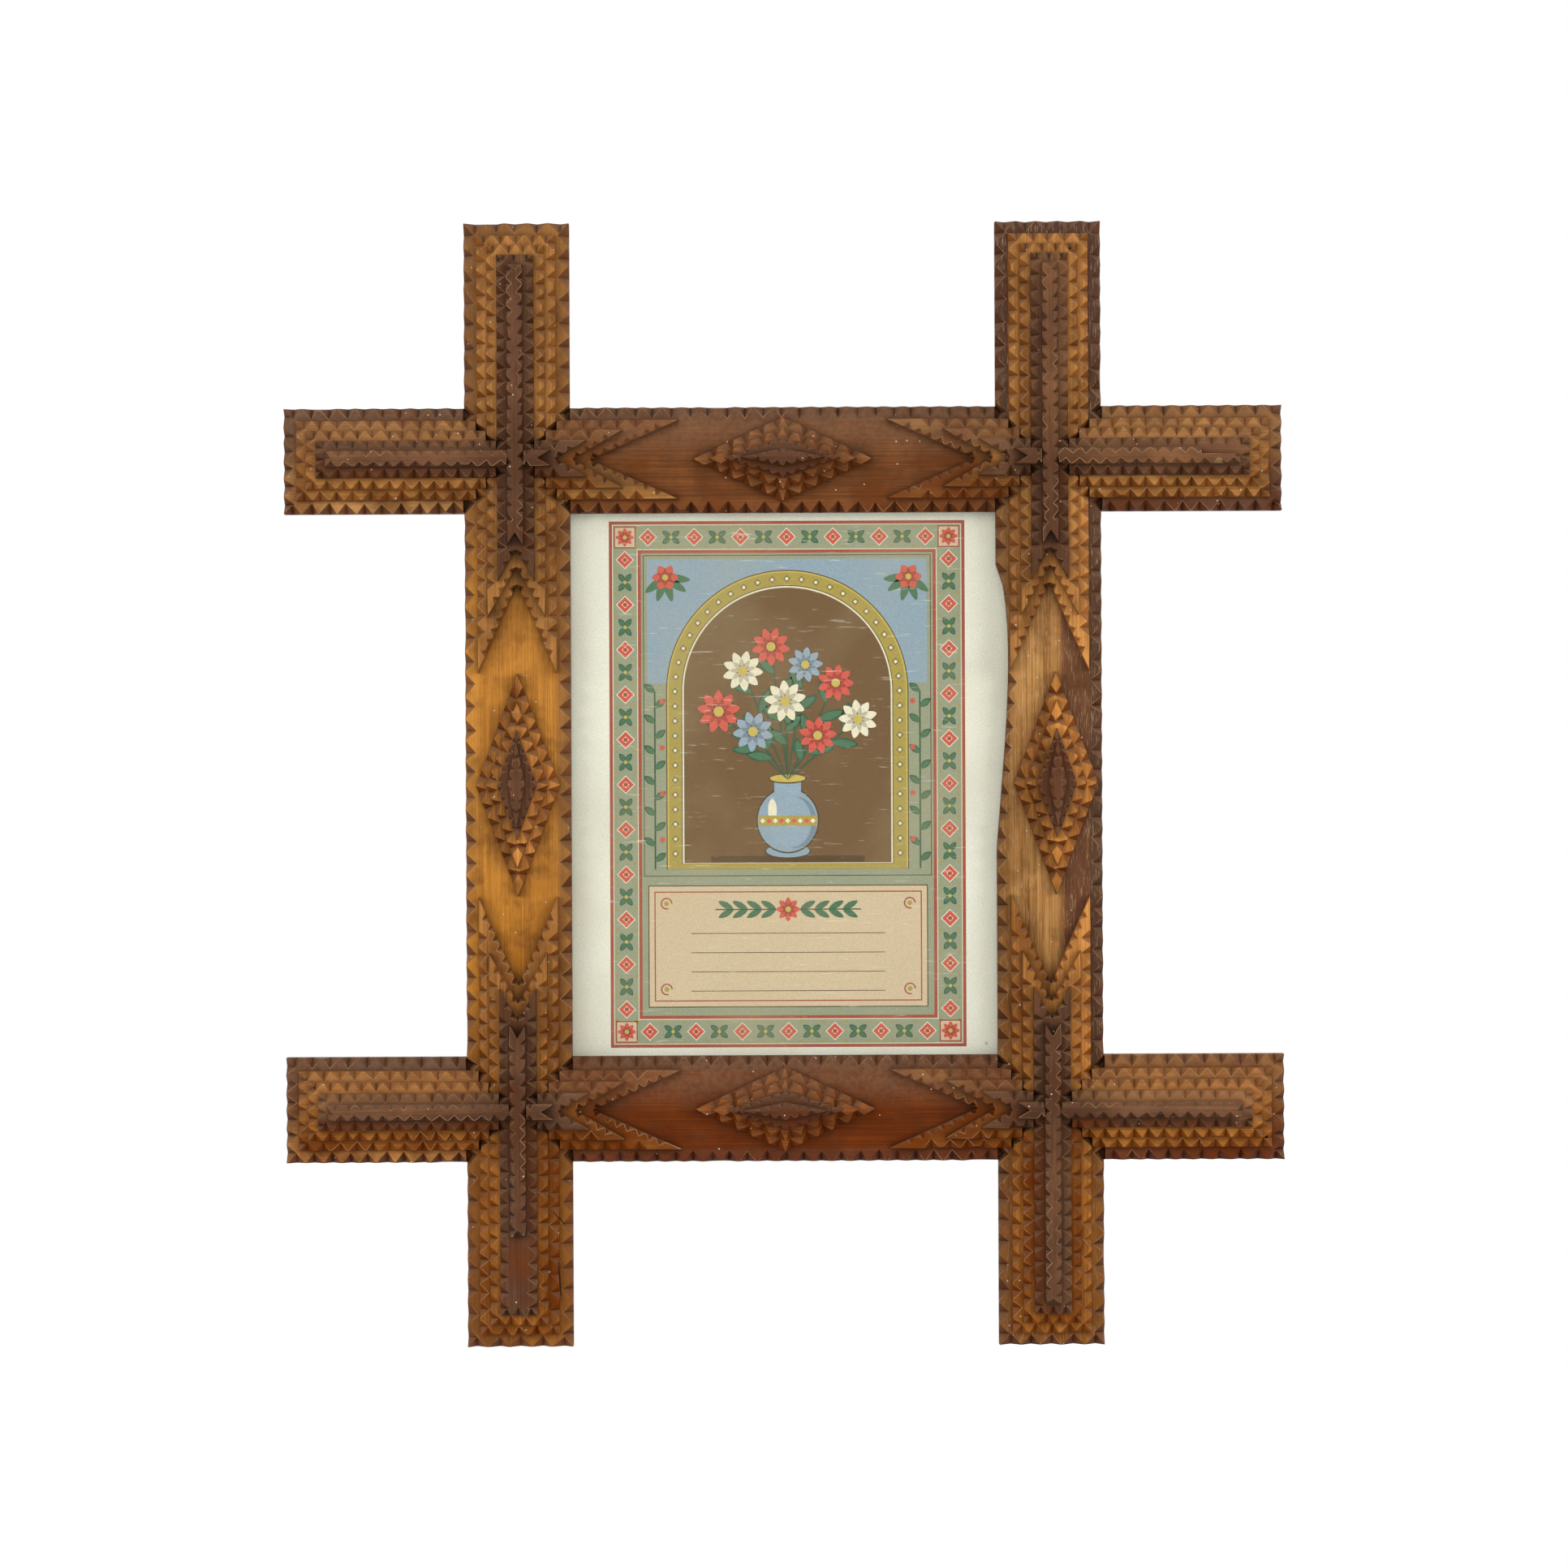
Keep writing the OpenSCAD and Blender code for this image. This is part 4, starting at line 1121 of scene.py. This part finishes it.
class FRAME_OT_hanger(bpy.types.Operator):
    """Makes the screw eye and the split ring that hangs in it"""

    bl_idname = "tramp_frame.hanger"
    bl_label = "Hanger"

    def execute(self, context):
        metal = context.scene.frame_metal
        brass = aged_metal("tarnished_brass_wire", metal.brass, metal.tarnish, 0.32, 0.12)
        dress("screw_eye", "bent_", brass, smooth=True)

        wire = (RING[1].y - RING[0].y) / 2
        middle = (RING[0] + RING[1]) / 2
        radius = (RING[1].x - RING[0].x) / 2 - wire
        gap = math.radians(3)
        loop = bmesh.new()
        lowest = Matrix.Translation(middle - Vector((0, 0, radius)))
        section = bmesh.ops.create_circle(
            loop, segments=20, radius=wire, matrix=lowest @ Matrix.Rotation(math.radians(90), 4, "Y"))
        bmesh.ops.rotate(
            loop, verts=section["verts"], cent=middle, matrix=Matrix.Rotation(gap / 2, 3, "Y"))
        edges = list({edge for vert in section["verts"] for edge in vert.link_edges})
        bmesh.ops.spin(
            loop, geom=section["verts"] + edges, cent=middle, axis=(0, 1, 0), angle=math.tau - gap, steps=96)
        bmesh.ops.holes_fill(loop, edges=[edge for edge in loop.edges if edge.is_boundary], sides=0)
        bmesh.ops.recalc_face_normals(loop, faces=loop.faces)
        for face in loop.faces:
            face.smooth = len(face.verts) == 4
        place_piece(loop, "split_hanging_ring", "hanging_ring", brass, "ring")
        return {"FINISHED"}


class FRAME_PT_tools(bpy.types.Panel):
    """Lists the frame's pieces and settings"""

    bl_idname = "FRAME_PT_tools"
    bl_label = "Tramp art frame"
    bl_space_type = "VIEW_3D"
    bl_region_type = "UI"
    bl_category = "Tramp art frame"

    def draw(self, context):
        for operator in OPERATORS:
            self.layout.operator(operator.bl_idname)
        for group in GROUPS:
            settings = getattr(context.scene, group)
            box = self.layout.box()
            for name in settings.__annotations__:
                box.prop(settings, name)


GROUPS = {
    "frame_wood": FrameWood,
    "frame_print": FramePrint,
    "frame_metal": FrameMetal,
    "frame_stage": FrameStage,
}
OPERATORS = (
    FRAME_OT_stage,
    FRAME_OT_boards,
    FRAME_OT_layers,
    FRAME_OT_backing,
    FRAME_OT_print,
    FRAME_OT_glass,
    FRAME_OT_hanger,
)
CLASSES = (*GROUPS.values(), *OPERATORS, FRAME_PT_tools)


def register():
    for item in CLASSES:
        bpy.utils.register_class(item)
    for name, group in GROUPS.items():
        setattr(bpy.types.Scene, name, bpy.props.PointerProperty(type=group))


def unregister():
    for name in GROUPS:
        delattr(bpy.types.Scene, name)
    for item in reversed(CLASSES):
        bpy.utils.unregister_class(item)


def main():
    register()
    bpy.ops.tramp_frame.stage()
    bpy.ops.tramp_frame.boards()
    bpy.ops.tramp_frame.layers()
    bpy.ops.tramp_frame.backing()
    bpy.ops.tramp_frame.print()
    bpy.ops.tramp_frame.glass()
    bpy.ops.tramp_frame.hanger()


if __name__ == "__main__":
    main()
